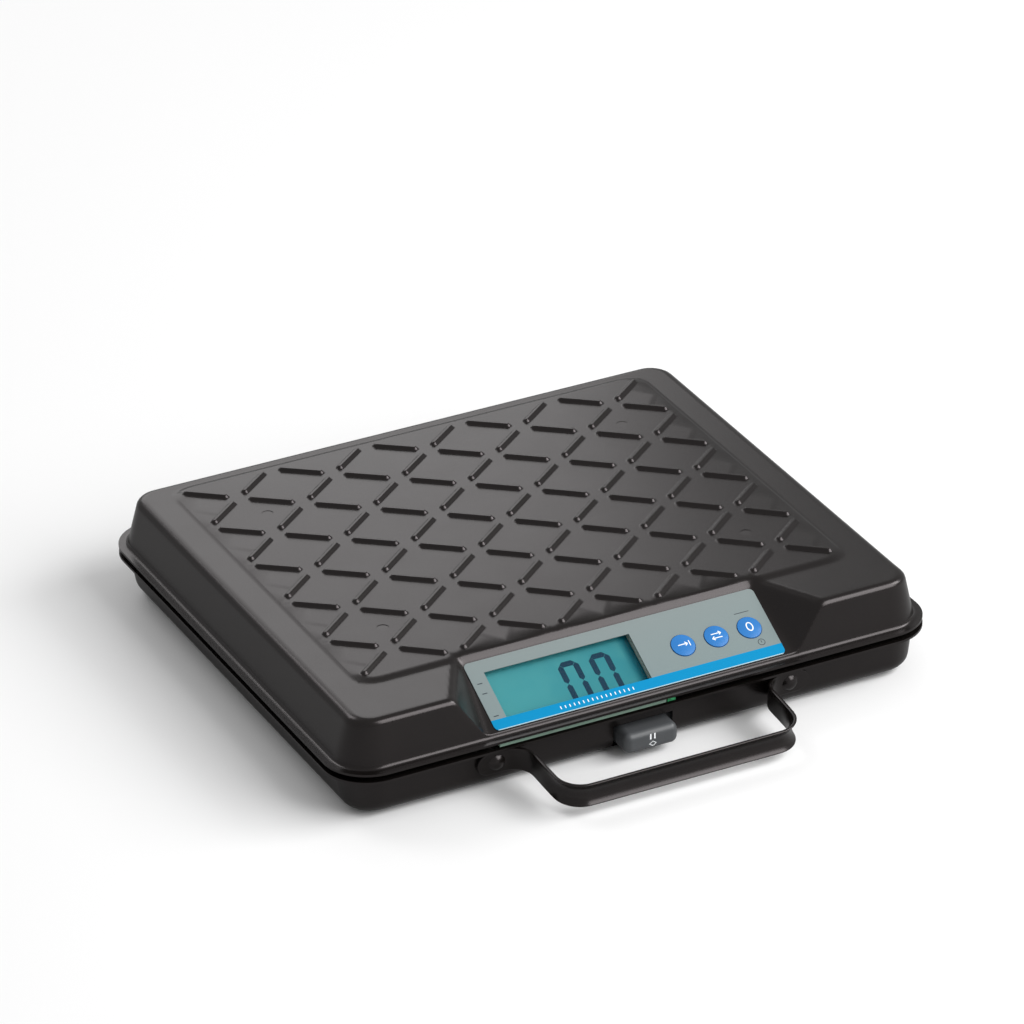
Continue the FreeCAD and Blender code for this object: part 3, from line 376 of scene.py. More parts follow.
def bar_cell(shape, border, centre, angle):
    """One embossed bar: rings around its middle line, joined to its cell's border."""
    direction = np.array([math.cos(angle), math.sin(angle)])
    places = np.array([shape.points[i][:2] for i in border])
    along = np.clip((places - centre) @ direction, -BAR_HALF_LENGTH, BAR_HALF_LENGTH)
    foot = centre + along[:, None] * direction
    outwards = places - foot
    outwards /= np.linalg.norm(outwards, axis=1)[:, None]
    rings = [shape.add(top_points(foot + outwards * distance, bar_lift(distance)))
             for distance in BAR_RINGS]
    shape.cap(rings[0])
    shape.strip(rings + [border])


def cell_border(column, row):
    """Lattice places round one cell, counter-clockwise from its front left corner."""
    x0, y0 = column * CELL_NODES_X, row * CELL_NODES_Y
    x1, y1 = x0 + CELL_NODES_X, y0 + CELL_NODES_Y
    return ([(x, y0) for x in range(x0, x1)] + [(x1, y) for y in range(y0, y1)]
            + [(x, y1) for x in range(x1, x0, -1)] + [(x0, y) for y in range(y1, y0, -1)])


def bar_field(shape):
    """Ten by ten cells, each with a bar that leans the other way from its neighbours. Returns
    the field's border."""
    count_x, count_y = BAR_COUNT * CELL_NODES_X, BAR_COUNT * CELL_NODES_Y
    corner = np.array([-BAR_COUNT * BAR_PITCH_X / 2, BAR_CENTRE_Y - BAR_COUNT * BAR_PITCH_Y / 2])
    step = np.array([BAR_PITCH_X / CELL_NODES_X, BAR_PITCH_Y / CELL_NODES_Y])
    lattice = [(i, j) for i in range(count_x + 1) for j in range(count_y + 1)
               if i % CELL_NODES_X == 0 or j % CELL_NODES_Y == 0]
    numbers = dict(zip(lattice, shape.add(top_points(corner + np.array(lattice) * step))))
    for column in range(BAR_COUNT):
        for row in range(BAR_COUNT):
            centre = corner + np.array([(column + 0.5) * BAR_PITCH_X, (row + 0.5) * BAR_PITCH_Y])
            lean = 1 if (column + row) % 2 == 0 else -1
            border = [numbers[place] for place in cell_border(column, row)]
            bar_cell(shape, border, centre, lean * math.radians(BAR_ANGLE))
    edge = ([(x, 0) for x in range(count_x)] + [(count_x, y) for y in range(count_y)]
            + [(x, count_y) for x in range(count_x, 0, -1)]
            + [(0, y) for y in range(count_y, 0, -1)])
    return [numbers[place] for place in edge]


def wall_profile(shoulder_inset, bend_r):
    """(inset, height) from the shoulder's bend down the wall to the edge of the flange."""
    lean = math.atan2(shoulder_inset - FOOT_INSET, SHOULDER_Z - RIM_TOP_Z)
    turn = math.pi / 2 - lean
    bend_run = bend_r * math.tan(turn / 2)
    foot_run = FOOT_R * math.tan(turn / 2)
    bend_centre = (shoulder_inset + bend_run, SHOULDER_Z - bend_r)
    foot_centre = (FOOT_INSET - foot_run, RIM_TOP_Z + FOOT_R)
    profile = []
    for i in range(BEND_RINGS + 1):
        a = turn * i / BEND_RINGS
        profile.append((bend_centre[0] - bend_r * math.sin(a),
                        bend_centre[1] + bend_r * math.cos(a)))
    wall_top = profile[-1]
    foot = []
    for i in range(FOOT_RINGS + 1):
        a = turn * (1 - i / FOOT_RINGS)
        foot.append((foot_centre[0] + FOOT_R * math.sin(a), foot_centre[1] - FOOT_R * math.cos(a)))
    for i in range(1, WALL_RINGS):
        t = i / WALL_RINGS
        profile.append(tuple(wall_top[k] + (foot[0][k] - wall_top[k]) * t for k in (0, 1)))
    edge = [(foot[-1][0] / 2, RIM_TOP_Z), (0.0, RIM_TOP_Z)]
    return profile + foot + edge


def cut_openings(piece):
    """Cuts the display window, the key holes and the stud holes through the platform."""
    cutters = Shape()
    x0, x1 = WINDOW_X[0] - OPENING_MARGIN, WINDOW_X[1] + OPENING_MARGIN
    t0, t1 = WINDOW_T[0] - OPENING_MARGIN, WINDOW_T[1] + OPENING_MARGIN
    corners = [on_label(x, t, -CUT_BELOW) for x, t in ((x0, t0), (x1, t0), (x1, t1), (x0, t1))]
    add_prism(cutters, corners, OFF_SLOPE * CUT_TALL)
    for x, t, _ in KEY_PLACES.values():
        circle = [on_label(*place, -CUT_BELOW) for place in circle_line(x, t, KEY_HOLE_R, 40)]
        add_prism(cutters, circle, OFF_SLOPE * CUT_TALL)
    for x, y, radius in stud_places():
        circle = [(*place, SHOULDER_Z - CUT_BELOW) for place in circle_line(x, y, radius, 32)]
        add_prism(cutters, circle, np.array([0, 0, STUD_CUT_TALL]))
    tool = cutters.build("cutters", bpy.data.materials[0], "platform", smooth=False)
    cut = piece.modifiers.new("openings", "BOOLEAN")
    cut.object = tool
    cut.operation = "DIFFERENCE"
    cut.solver = "EXACT"
    apply_modifiers(piece)
    bpy.data.objects.remove(tool)


def circle_angles(count):
    return [2 * math.pi * i / count for i in range(count)]


def add_prism(shape, base, rise):
    low = shape.add(base)
    high = shape.add([np.array(p) + rise for p in base])
    shape.band(low, high)
    shape.cap(low[::-1])
    shape.cap(high)


def stud_places():
    """(x, y, hole radius) of each stud, from the box round the four of them."""
    low, high = box_mm("platform_studs")
    xs = (low[0] + STUD_R, high[0] - STUD_R)
    ys = (low[1] + STUD_R, high[1] - STUD_R)
    return [(x, y, STUD_R + STUD_GAP) for x in xs for y in ys]


def platform_rings(shape):
    """Rings from the bar field out over the shoulder, round the bend and down to the flange."""
    border = bar_field(shape)
    inner = np.array([shape.points[i][:2] for i in border])
    side = wall_profile(SHOULDER_INSET, BEND_R)
    front = wall_profile(FRONT_SHOULDER_INSET, FRONT_BEND_R)
    bend_top = rim_outline(side[0][0], front[0][0])
    rings = [border]
    for i in range(1, SHOULDER_RINGS):
        t = i / SHOULDER_RINGS
        rings.append(shape.add(top_points(inner + (bend_top - inner) * t)))
    for (inset, z), (front_inset, front_z) in zip(side, front):
        places = rim_outline(inset, front_inset)
        from_blend = RIM_FRONT_Y + FRONT_BLEND_FROM - places[:, 1]
        height = z + (front_z - z) * smooth_step(from_blend / FRONT_BLEND_OVER)
        height = with_recess(places[:, 0], places[:, 1], height)
        rings.append(shape.add(np.c_[places, height]))
    return rings


def thicken(piece):
    skin = piece.modifiers.new("sheet", "SOLIDIFY")
    skin.thickness = SHEET * MM
    skin.offset = -1
    skin.use_even_offset = True
    apply_modifiers(piece)


def round_edges(piece):
    edges = piece.modifiers.new("edges", "BEVEL")
    edges.width = EDGE_ROUNDING * MM
    edges.segments = 2
    edges.limit_method = "ANGLE"
    edges.angle_limit = math.radians(60)
    apply_modifiers(piece)


def make_platform(material):
    """The pressed platform, with soft bends, woven bars and the display recess."""
    shape = Shape()
    shape.strip(platform_rings(shape))
    piece = shape.build("platform_skin", material, "platform")
    thicken(piece)
    cut_openings(piece)
    round_edges(piece)
    set_sharp(piece, 50)
    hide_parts("platform")


# ---------------------------------------------------------------- handle

def strap_line():
    """Half of the strap's middle line, as (x, outwards, heading) from the ear to the middle.
    Heading 0 runs along the wall and a quarter turn runs straight out."""
    low, high = box_mm("handle")
    end = (high[0] - low[0]) / 2
    start = STRAP_T / 2
    points = [(-end + EAR_R * (1 - math.cos(a)), start, 0.0)
              for a in np.linspace(EAR_START, math.pi / 2, 8)]
    wall_x = -STRAP_HALF - STRAP_WALL_R
    points += [(wall_x + STRAP_WALL_R * math.sin(a), start + STRAP_WALL_R * (1 - math.cos(a)), a)
               for a in np.linspace(0, math.pi / 2, 10)]
    arm_start, arm_end = start + STRAP_WALL_R, STRAP_OUT - STRAP_CORNER_R
    points += [(-STRAP_HALF, arm_start + (arm_end - arm_start) * t, math.pi / 2)
               for t in (0.25, 0.5, 0.75)]
    points += [(-STRAP_HALF + STRAP_CORNER_R * (1 - math.cos(a)),
                arm_end + STRAP_CORNER_R * math.sin(a), math.pi / 2 - a)
               for a in np.linspace(0, math.pi / 2, 13)]
    bar_x = STRAP_HALF - STRAP_CORNER_R
    return points + [(-bar_x * t, STRAP_OUT, 0.0) for t in (0.75, 0.5, 0.25)]


def strap_section(half_w, curl):
    """The strap's section as (outwards, up): its edges curl outwards, its middle inwards."""
    turns = np.linspace(-math.pi / 2, math.pi / 2, STRAP_SECTION)
    heights = [(half_w - STRAP_T / 4) * math.sin(a) for a in turns]
    bow = [-curl * (1 - (2 * h / STRAP_W) ** 2) for h in heights]
    half_t = STRAP_T / 2
    outer = [(b + half_t, h) for b, h in zip(bow, heights)]
    inner = [(b - half_t, h) for b, h in zip(bow, heights)]
    top = [(bow[-1] + half_t / 2, half_w), (bow[-1] - half_t / 2, half_w)]
    bottom = [(bow[0] - half_t / 2, -half_w), (bow[0] + half_t / 2, -half_w)]
    return outer + top + inner[::-1] + bottom


def make_handle(material):
    """Carrying handle: a flat strap that curls into a shallow gutter where the hand holds it."""
    low, high = box_mm("handle")
    up = np.array([0.0, -math.sin(WALL_LEAN), math.cos(WALL_LEAN)])
    wall_out = np.array([0.0, -math.cos(WALL_LEAN), -math.sin(WALL_LEAN)])
    reach = STRAP_OUT + STRAP_T / 2
    origin = np.array([0.0, low[1], low[2]]) + np.array([
        0.0, reach * math.cos(WALL_LEAN) + STRAP_W / 2 * math.sin(WALL_LEAN),
        reach * math.sin(WALL_LEAN) + STRAP_W / 2 * math.cos(WALL_LEAN)])
    across = np.array([1.0, 0.0, 0.0])
    left = strap_line()
    line = left + [(0.0, STRAP_OUT, 0.0)] + [(-x, o, -a) for x, o, a in reversed(left)]
    end = -line[0][0] + EAR_R * (1 - math.cos(EAR_START))
    shape = Shape()
    rings = []
    for x, out, heading in line:
        ear = min(1.0, (end - abs(x)) / EAR_R)
        half_w = STRAP_W / 2 * math.sqrt(1 - (1 - ear) ** 2)
        curl = STRAP_CURL * smooth_step((out - CURL_FROM) / CURL_OVER)
        normal = wall_out * math.cos(heading) - across * math.sin(heading)
        place = origin + across * x + wall_out * out
        section = strap_section(half_w, curl)
        rings.append(shape.add([place + normal * n + up * h for n, h in section]))
    shape.strip(rings)
    shape.cap(rings[0][::-1])
    shape.cap(rings[-1])
    piece = shape.build("handle_strap", material, "base")
    rounding = piece.modifiers.new("rounding", "SUBSURF")
    rounding.levels = rounding.render_levels = 2
    apply_modifiers(piece)
    piece.data.shade_smooth()
    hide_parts("handle")


# ---------------------------------------------------------------- printed marks

def add_ribbon(shape, line, width, place, height, closed=False):
    """A thin raised line along a polyline: place(u, v, lift) says where each point lies."""
    points = resample(line, RIBBON_STEP, closed)
    count = len(points)
    rings = []
    for i, point in enumerate(points):
        before = points[i - 1] if closed or i else point
        after = points[(i + 1) % count] if closed or i < count - 1 else point
        along = (after - before) / max(np.linalg.norm(after - before), 1e-9)
        side = np.array([-along[1], along[0]]) * width / 2
        rings.append(shape.add([place(*(point + side), 0.0), place(*(point + side), height),
                                place(*(point - side), height), place(*(point - side), 0.0)]))
    for first, second in zip(rings, rings[1:] + (rings[:1] if closed else [])):
        shape.band(first, second)
    if not closed:
        shape.cap(rings[0][::-1])
        shape.cap(rings[-1])


def resample(line, step, closed):
    """Points no further apart than a step along a polyline."""
    line = [np.array(p, float) for p in line]
    if closed:
        line = line + line[:1]
    points = []
    for start, end in zip(line, line[1:]):
        count = max(1, math.ceil(np.linalg.norm(end - start) / step))
        points += [start + (end - start) * i / count for i in range(count)]
    return points if closed else points + [line[-1]]


def circle_line(x, y, radius, count=28):
    return [(x + radius * math.cos(a), y + radius * math.sin(a)) for a in circle_angles(count)]


def key_surface(node):
    """A function that places points on the dome of a key."""
    x, t, _ = KEY_PLACES[node]

    def place(u, v, lift):
        sag = (u * u + v * v) / (2 * KEY_DOME_R)
        return on_label(x + u, t + v, top_off_label(node) - sag + lift)
    return place


def top_off_label(node):
    """How far a node's highest point stands off the label's top edge, square to the slope."""
    vertices = np.array([v.co for v in frame["nodes"][node].data.vertices]) / MM
    return ((vertices - LABEL_TOP) @ OFF_SLOPE).max()


def label_marks(dark, white):
    """Small generic marks on the label: pointers by the glass, a ring, an even row of ticks."""
    marks = Shape()
    for t in POINTER_T:
        add_ribbon(marks, [(x, t) for x in POINTER_X], POINTER_W, on_label, PRINT_LIFT)
    ring = circle_line(*RING_PLACE, RING_R)
    add_ribbon(marks, ring, RING_LINE_W, on_label, PRINT_LIFT, closed=True)
    hand = [(RING_PLACE[0], t) for t in RING_HAND_T]
    add_ribbon(marks, hand, RING_LINE_W, on_label, PRINT_LIFT)
    add_ribbon(marks, [(x, RULE_T) for x in RULE_X], RULE_W, on_label, PRINT_LIFT)
    marks.build("label_marks_dark", dark, "platform", smooth=False)
    rule = Shape()
    for i in range(TICK_COUNT):
        x = TICK_FIRST_X + i * TICK_PITCH
        add_ribbon(rule, [(x, t) for t in TICK_T], TICK_W, on_label, PRINT_LIFT)
    rule.build("label_marks_white", white, "platform", smooth=False)


def key_marks(white):
    """Plain white pictograms: an arrow to a line, a pair of arrows, a nought."""
    arrow_head = [(0.9, -1.0), (2.2, 0.0), (0.9, 1.0)]
    lines = {
        "key_tare": [[(-2.8, 0.0), (2.0, 0.0)], arrow_head, [(3.3, -1.5), (3.3, 1.5)]],
        "key_units": [[(-2.6, -1.1), (2.6, -1.1)], [(1.5, -2.1), (2.7, -1.1), (1.5, -0.1)],
                      [(2.6, 1.3), (-2.6, 1.3)], [(-1.5, 0.3), (-2.7, 1.3), (-1.5, 2.3)]],
        "key_zero": [],
    }
    for node, strokes in lines.items():
        shape = Shape()
        place = key_surface(node)
        for stroke in strokes:
            add_ribbon(shape, stroke, PICTOGRAM_W, place, MARK_LIFT)
        if node == "key_zero":
            nought = [(NOUGHT_HALF[0] * math.cos(a), NOUGHT_HALF[1] * math.sin(a))
                      for a in circle_angles(30)]
            add_ribbon(shape, nought, NOUGHT_W, place, MARK_LIFT, closed=True)
        piece = shape.build(node + "_mark", white, node, smooth=False)


def digit_segment(shape, start, end, width, place, height):
    """One pointed bar of a digit, between two points."""
    start, end = np.array(start, float), np.array(end, float)
    along = (end - start) / np.linalg.norm(end - start)
    side = np.array([-along[1], along[0]]) * width / 2
    point = along * DIGIT_GAP
    shoulder = along * (DIGIT_GAP + width / 2)
    corners = [start + point, start + shoulder + side, end - shoulder + side,
               end - point, end - shoulder - side, start + shoulder - side]
    low = shape.add([place(*c, 0.0) for c in corners])
    high = shape.add([place(*c, height) for c in corners])
    shape.band(low, high)
    shape.cap(low[::-1])
    shape.cap(high)


def glass_digits(material):
    """Two noughts on the liquid crystal glass, and a small tick at its left edge."""
    level = top_off_label("lcd_glass") + DIGIT_CLEARANCE

    def place(u, v, lift):
        return on_label(u, v, level + lift)

    shape = Shape()
    for x in DIGIT_LEFT_X:
        left, right = x + DIGIT_STROKE / 2, x + DIGIT_W + DIGIT_STROKE / 2
        rows = (DIGIT_TOP_T, DIGIT_TOP_T + DIGIT_H / 2, DIGIT_TOP_T + DIGIT_H)
        for column in (left, right):
            for upper, lower in zip(rows, rows[1:]):
                ends = (column, upper), (column, lower)
                digit_segment(shape, *ends, DIGIT_STROKE, place, MARK_LIFT)
        for row in (rows[0], rows[2]):
            digit_segment(shape, (left, row), (right, row), DIGIT_STROKE, place, MARK_LIFT)
    digit_segment(shape, *TICK_ON_GLASS, TICK_ON_GLASS_W, place, MARK_LIFT)
    piece = shape.build("glass_digits", material, "platform", smooth=False)


def button_marks(white):
    """Two upright bars, for a held reading, and a small diamond on the hold button."""
    low, high = box_mm("hold_button")
    middle_x = (low[0] + high[0]) / 2
    middle_z = (low[2] + HOLD_TOP_Z) / 2 + HOLD_MARK_RISE

    def place(u, v, lift):
        return np.array([middle_x + u, low[1] - lift, middle_z + v])

    shape = Shape()
    for x in (-HOLD_BAR_X, HOLD_BAR_X):
        add_ribbon(shape, [(x, z) for z in HOLD_BAR_Z], HOLD_BAR_W, place, MARK_LIFT)
    add_ribbon(shape, DIAMOND, DIAMOND_W, place, MARK_LIFT, closed=True)
    piece = shape.build("hold_button_mark", white, "hold_button", smooth=False)


# ---------------------------------------------------------------- materials

class Paint:
    """One material's nodes. Patterns follow the CAD frame, in metres."""

    def __init__(self, name):
        self.material = bpy.data.materials.new(name)
        self.material.use_nodes = True
        self.tree = self.material.node_tree
        self.surface = self.tree.nodes["Principled BSDF"]
        self.place = self.tree.nodes.new("ShaderNodeTexCoord").outputs["Object"]

    def put(self, socket, value):
        if isinstance(value, bpy.types.NodeSocket):
            self.tree.links.new(value, socket)
        elif isinstance(value, (tuple, list)) and len(value) == 3 and socket.type == "RGBA":
            socket.default_value = (*value, 1.0)
        else:
            socket.default_value = value

    def set(self, **inputs):
        for name, value in inputs.items():
            self.put(self.surface.inputs[name.replace("_", " ")], value)
        return self

    def noise(self, size_mm, detail=3.0, stretch=None):
        """Noise with features of about a size."""
        node = self.tree.nodes.new("ShaderNodeTexNoise")
        node.inputs["Scale"].default_value = 1 / (size_mm * MM)
        node.inputs["Detail"].default_value = detail
        source = self.place
        if stretch:
            mapping = self.tree.nodes.new("ShaderNodeMapping")
            mapping.inputs["Scale"].default_value = stretch
            self.put(mapping.inputs["Vector"], source)
            source = mapping.outputs["Vector"]
        self.put(node.inputs["Vector"], source)
        return node.outputs["Fac"]

    def between(self, value, low, high, to_low=0.0, to_high=1.0):
        """Maps a range of values to another range."""
        node = self.tree.nodes.new("ShaderNodeMapRange")
        for name, number in (("From Min", low), ("From Max", high),
                             ("To Min", to_low), ("To Max", to_high)):
            node.inputs[name].default_value = number
        self.put(node.inputs["Value"], value)
        return node.outputs["Result"]

    def mix(self, share, first, second):
        node = self.tree.nodes.new("ShaderNodeMix")
        node.data_type = "RGBA"
        self.put(node.inputs["Factor"], share)
        colours = [socket for socket in node.inputs if socket.type == "RGBA"]
        self.put(colours[0], first)
        self.put(colours[1], second)
        return next(socket for socket in node.outputs if socket.type == "RGBA")

    def math(self, operation, first, second=0.0):
        node = self.tree.nodes.new("ShaderNodeMath")
        node.operation = operation
        self.put(node.inputs[0], first)
        self.put(node.inputs[1], second)
        return node.outputs[0]

    def along(self, direction, origin):
        """Distance in millimetres from a point, along a direction."""
        node = self.tree.nodes.new("ShaderNodeVectorMath")
        node.operation = "DOT_PRODUCT"
        self.put(node.inputs[0], self.place)
        node.inputs[1].default_value = [c / MM for c in direction]
        return self.math("SUBTRACT", node.outputs["Value"], float(np.dot(direction, origin)))

    def bump(self, height, depth_mm, strength=1.0):
        node = self.tree.nodes.new("ShaderNodeBump")
        node.inputs["Strength"].default_value = strength
        node.inputs["Distance"].default_value = depth_mm * MM
        self.put(node.inputs["Height"], height)
        self.put(self.surface.inputs["Normal"], node.outputs["Normal"])
        return self


def black_paint():
    """Satin black powder coat: fine orange peel, and a faint cloudiness in colour and gloss."""
    paint = Paint("black_paint")
    cloud = paint.noise(28.0, 4.0)
    grain = paint.noise(0.7, 3.0)
    shade = paint.between(cloud, 0.35, 0.7)
    paint.set(Base_Color=paint.mix(shade, (0.0042, 0.0034, 0.0030), (0.0054, 0.0044, 0.0038)),
              Roughness=paint.between(cloud, 0.3, 0.7, 0.235, 0.265), IOR=1.48,
              Specular_Tint=(1.0, 0.92, 0.93))
    return paint.bump(grain, 0.006, 0.12).material


def zinc_steel():
    """Zinc-plated steel with fine drawn lines."""
    paint = Paint("zinc_steel")
    lines = paint.noise(0.4, 3.0, (1.0, 0.05, 1.0))
    paint.set(Base_Color=paint.mix(lines, (0.50, 0.50, 0.48), (0.66, 0.66, 0.62)), Metallic=1.0,
              Roughness=paint.between(lines, 0.2, 0.8, 0.28, 0.45))
    return paint.bump(lines, 0.01, 0.3).material


def cell_alloy():
    """Machined aluminium with cutter lines."""
    paint = Paint("cell_alloy")
    lines = paint.noise(0.3, 2.0, (0.05, 1.0, 0.05))
    paint.set(Base_Color=paint.mix(lines, (0.68, 0.69, 0.71), (0.78, 0.79, 0.81)), Metallic=1.0,
              Roughness=paint.between(lines, 0.2, 0.8, 0.22, 0.36))
    return paint.bump(lines, 0.008, 0.4).material


def moulded(name, colour, grain_mm, roughness, specular=0.5):
    """Moulded plastic with a fine spark-eroded grain."""
    paint = Paint(name)
    grain = paint.noise(grain_mm, 4.0)
    cloud = paint.noise(14.0, 2.0)
    lighter = tuple(min(1.0, c * 1.18 + 0.002) for c in colour)
    paint.set(Base_Color=paint.mix(cloud, colour, lighter),
              Roughness=paint.between(grain, 0.25, 0.75, roughness - 0.06, roughness + 0.06))
    paint.surface.inputs["Specular IOR Level"].default_value = specular
    return paint.bump(grain, 0.02, 0.25).material


def foot_rubber():
    return moulded("foot_rubber", (0.018, 0.018, 0.018), 0.5, 0.75, 0.3)


def black_plastic():
    return moulded("black_plastic", (0.020, 0.020, 0.021), 0.35, 0.5)


def white_plastic():
    return moulded("white_plastic", (0.62, 0.63, 0.60), 0.4, 0.45)


def button_grey():
    return moulded("button_grey", (0.062, 0.066, 0.070), 0.4, 0.42)


def wire_insulation():
    return moulded("wire_insulation", (0.03, 0.03, 0.034), 0.8, 0.5)


def battery_wrap():
    return moulded("battery_wrap", (0.08, 0.08, 0.09), 1.2, 0.3)


def board_green():
    """Solder mask over faint copper tracks."""
    paint = Paint("board_green")
    tracks = paint.noise(1.6, 0.0, (1.0, 0.25, 1.0))
    lines = paint.between(tracks, 0.48, 0.52)
    paint.set(Base_Color=paint.mix(lines, (0.012, 0.17, 0.06), (0.03, 0.30, 0.11)), Roughness=0.32)
    return paint.bump(lines, 0.03, 0.4).material


def key_blue():
    """Glossy blue keys, very slightly cloudy."""
    paint = Paint("key_blue")
    grain = paint.noise(0.5, 3.0)
    cloud = paint.noise(5.0, 1.0)
    paint.set(Base_Color=paint.mix(cloud, (0.024, 0.165, 0.47), (0.032, 0.195, 0.52)),
              Roughness=paint.between(grain, 0.3, 0.7, 0.22, 0.30), Specular_IOR_Level=0.4)
    return paint.bump(grain, 0.01, 0.2).material


def overlay_print():
    """Printed overlay: grey with painted shade that darkens it slightly down the slope, a blue
    band along its lower edge and a pale line under it.
    """
    paint = Paint("overlay_print")
    down = paint.along(DOWN_SLOPE, LABEL_TOP)
    grain = paint.noise(0.35, 4.0)
    # Painted shade: the grey darkens slightly down the slope
    shaded_grey = paint.mix(paint.between(down, 0.0, 30.0), (0.222, 0.262, 0.262), (0.205, 0.255, 0.258))
    band = paint.math("GREATER_THAN", down, BAND_T)
    pale = paint.math("GREATER_THAN", down, LABEL_L - 0.35)
    colour = paint.mix(pale, paint.mix(band, shaded_grey, (0.0, 0.240, 0.485)), (0.45, 0.62, 0.68))
    paint.set(Base_Color=colour, Roughness=paint.between(grain, 0.3, 0.7, 0.34, 0.44))
    paint.set(Specular_IOR_Level=0.15)
    return paint.bump(grain, 0.008, 0.3).material


def print_ink(name, colour):
    """Matt printed ink."""
    paint = Paint(name)
    grain = paint.noise(0.3, 2.0)
    lighter = tuple(min(1.0, c * 1.1 + 0.004) for c in colour)
    paint.set(Base_Color=paint.mix(grain, colour, lighter), Roughness=0.5,
              Specular_IOR_Level=0.1)
    return paint.material


def lcd_teal():
    """Liquid crystal glass: teal, with painted shade that darkens it from left to right, and
    darker and greener close to its right edge.
    """
    paint = Paint("lcd_teal")
    across = paint.along((1.0, 0.0, 0.0), (0.0, 0.0, 0.0))
    cloud = paint.noise(18.0, 2.0)
    # Painted shade: the teal darkens from the left of the glass towards its middle
    shade_and_cloud = paint.mix(paint.between(across, -66.0, 0.0),
                      (0.080, 0.345, 0.410), (0.048, 0.270, 0.340))
    shade_and_cloud = paint.mix(paint.between(cloud, 0.4, 0.6, 0.0, 0.35), shade_and_cloud, (0.10, 0.37, 0.42))
    # Painted shade: a darker, greener band close to the glass's right edge
    shaded = paint.mix(paint.between(across, 2.0, 5.5), shade_and_cloud, (0.0, 0.16, 0.235))
    paint.set(Base_Color=shaded, Roughness=0.3, Specular_IOR_Level=0.1)
    return paint.bump(cloud, 0.004, 0.2).material


def window_clear():
    """Clear sheet: see-through on its face, pale green where light gathers at its edges."""
    paint = Paint("window_clear")
    tree = paint.tree
    haze = paint.noise(6.0, 2.0)
    paint.set(Base_Color=paint.mix(haze, (0.12, 0.19, 0.15), (0.17, 0.25, 0.20)), Roughness=0.25)
    clear = tree.nodes.new("ShaderNodeBsdfTransparent")
    clear.inputs["Color"].default_value = (0.93, 0.97, 0.95, 1.0)
    shine = tree.nodes.new("ShaderNodeBsdfGlossy")
    shine.inputs["Roughness"].default_value = 0.12
    fresnel = tree.nodes.new("ShaderNodeFresnel")
    face = tree.nodes.new("ShaderNodeMixShader")
    paint.put(face.inputs["Fac"], paint.math("MULTIPLY", fresnel.outputs["Fac"], 0.22))
    paint.put(face.inputs[1], clear.outputs["BSDF"])
    paint.put(face.inputs[2], shine.outputs["BSDF"])
    normal = tree.nodes.new("ShaderNodeNewGeometry").outputs["True Normal"]
    facing = tree.nodes.new("ShaderNodeVectorMath")
    facing.operation = "DOT_PRODUCT"
    paint.put(facing.inputs[0], normal)
    facing.inputs[1].default_value = list(OFF_SLOPE)
    on_face = paint.math("GREATER_THAN", paint.math("ABSOLUTE", facing.outputs["Value"]), 0.9)
    output = tree.nodes["Material Output"]
    whole = tree.nodes.new("ShaderNodeMixShader")
    paint.put(whole.inputs["Fac"], on_face)
    paint.put(whole.inputs[1], paint.surface.outputs["BSDF"])
    paint.put(whole.inputs[2], face.outputs["Shader"])
    paint.put(output.inputs["Surface"], whole.outputs["Shader"])
    return paint.material


FINISHES = {
    "black_paint": black_paint, "zinc_steel": zinc_steel, "cell_alloy": cell_alloy,
    "foot_rubber": foot_rubber, "overlay_print": overlay_print, "key_blue": key_blue,
    "window_clear": window_clear, "lcd_teal": lcd_teal, "board_green": board_green,
    "black_plastic": black_plastic, "white_plastic": white_plastic, "button_grey": button_grey,
    "wire_insulation": wire_insulation, "battery_wrap": battery_wrap,
}


def finish_cad_nodes():
    """Gives every CAD node the material of its slot. Returns the materials by slot."""
    materials = {slot: make() for slot, make in FINISHES.items()}
    for part in frame["record"]["subparts"]:
        piece = frame["nodes"][part["node"]]
        piece.data.materials.clear()
        piece.data.materials.append(materials[part["material_slot"]])
    return materials


# ---------------------------------------------------------------- stage

CAMERA_PLACE = (-1.24268, RIM_CENTRE_Y * MM - 2.52743, 1.58354)
CAMERA_AZIMUTH = math.radians(-26.160)
CAMERA_ELEVATION = math.radians(28.349)
CAMERA_ROLL = math.radians(-1.247)
SENSOR = 36.0
LENS = 231.46
FLOOR_SIZE = 12.0
FLOOR_SHADE = 0.92
# Painted shade in reflections: glossy rays see the floor at this share of its shade
FLOOR_REFLECTION_SHADE = 0.45
WORLD_STRENGTH = 0.40

# Softboxes: name, place, aim, size and radiance
SOFTBOXES = (
    ("right", (1.55, -0.65, 1.25), (0, 0, 0), (0.9, 0.9), 8.0),
    ("front", (0.85, -1.4, 1.25), (0, 0, 0.03), (1.2, 1.6), 5.0),
    ("fill", (-0.7, 1.3, 1.5), (0, 0, 0), (0.8, 0.8), 3.0),
    ("back", (0.36, 1.85, 1.0), (0, 0, 0.05), (1.25, 0.95), 1.6),
)


def make_camera():
    back = Vector((math.sin(CAMERA_AZIMUTH) * math.cos(CAMERA_ELEVATION),
                   -math.cos(CAMERA_AZIMUTH) * math.cos(CAMERA_ELEVATION),
                   math.sin(CAMERA_ELEVATION)))
    level = Vector((0, 0, 1)).cross(back).normalized()
    upright = back.cross(level)
    right = level * math.cos(CAMERA_ROLL) + upright * math.sin(CAMERA_ROLL)
    up = upright * math.cos(CAMERA_ROLL) - level * math.sin(CAMERA_ROLL)
    data = bpy.data.cameras.new("camera")
    data.sensor_width = SENSOR
    data.lens = LENS
    data.clip_end = 50
    camera = bpy.data.objects.new("camera", data)
    bpy.context.scene.collection.objects.link(camera)
    turn = Matrix((right, up, back)).transposed().to_4x4()
    camera.matrix_world = Matrix.Translation(CAMERA_PLACE) @ turn
    bpy.context.scene.camera = camera


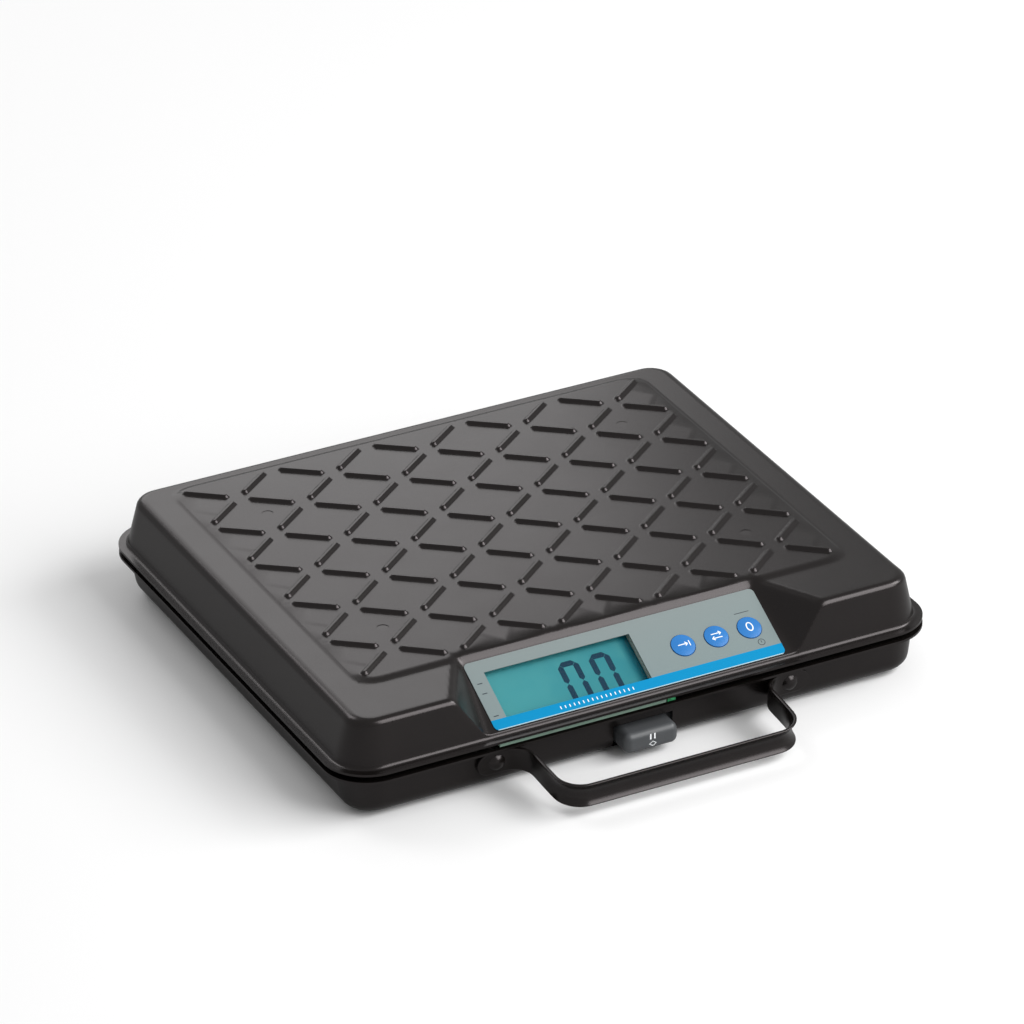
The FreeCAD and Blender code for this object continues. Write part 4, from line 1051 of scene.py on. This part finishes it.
def make_floor():
    """A plain pale floor, level with the feet, darker where the object mirrors it: painted shade,
    as glossy rays see it darker than the camera does.
    """
    half = FLOOR_SIZE / 2
    mesh = bpy.data.meshes.new("floor")
    corners = [(-half, -half, 0), (half, -half, 0), (half, half, 0), (-half, half, 0)]
    mesh.from_pydata(corners, [], [(0, 1, 2, 3)])
    floor = bpy.data.objects.new("floor", mesh)
    bpy.context.scene.collection.objects.link(floor)
    material = bpy.data.materials.new("floor_white")
    material.use_nodes = True
    surface = material.node_tree.nodes["Principled BSDF"]
    # Painted shade: the floor is darker in the object's reflections than it is to the camera
    rays = material.node_tree.nodes.new("ShaderNodeLightPath")
    shade = material.node_tree.nodes.new("ShaderNodeMapRange")
    shade.inputs["To Min"].default_value = FLOOR_SHADE
    shade.inputs["To Max"].default_value = FLOOR_SHADE * FLOOR_REFLECTION_SHADE
    material.node_tree.links.new(rays.outputs["Is Glossy Ray"], shade.inputs["Value"])
    material.node_tree.links.new(shade.outputs["Result"], surface.inputs["Base Color"])
    surface.inputs["Roughness"].default_value = 0.9
    surface.inputs["Specular IOR Level"].default_value = 0.1
    mesh.materials.append(material)


def add_softbox(name, place, aim, size, power):
    light = bpy.data.lights.new(name, "AREA")
    light.shape = "RECTANGLE"
    light.size, light.size_y = size
    light.energy = power
    lamp = bpy.data.objects.new(name, light)
    bpy.context.scene.collection.objects.link(lamp)
    lamp.location = place
    lamp.rotation_euler = (Vector(aim) - Vector(place)).to_track_quat("-Z", "Y").to_euler()


def make_light():
    world = bpy.data.worlds.new("studio")
    bpy.context.scene.world = world
    world.use_nodes = True
    sky = world.node_tree.nodes["Background"]
    sky.inputs["Color"].default_value = (1.0, 1.0, 1.0, 1.0)
    sky.inputs["Strength"].default_value = WORLD_STRENGTH
    for name, place, aim, size, radiance in SOFTBOXES:
        add_softbox(name, place, aim, size, radiance * math.pi * size[0] * size[1])
    bpy.context.scene.view_settings.view_transform = "Standard"
    bpy.context.scene.view_settings.look = "None"


# ---------------------------------------------------------------- scene

finishes = finish_cad_nodes()
make_platform(finishes["black_paint"])
make_handle(finishes["black_paint"])
ink_dark = print_ink("ink_dark", (0.045, 0.055, 0.065))
ink_white = print_ink("ink_white", (0.82, 0.84, 0.85))
digit_navy = print_ink("digit_navy", (0.008, 0.040, 0.085))
label_marks(ink_dark, ink_white)
key_marks(ink_white)
glass_digits(digit_navy)
button_marks(ink_white)
make_floor()
make_light()
make_camera()
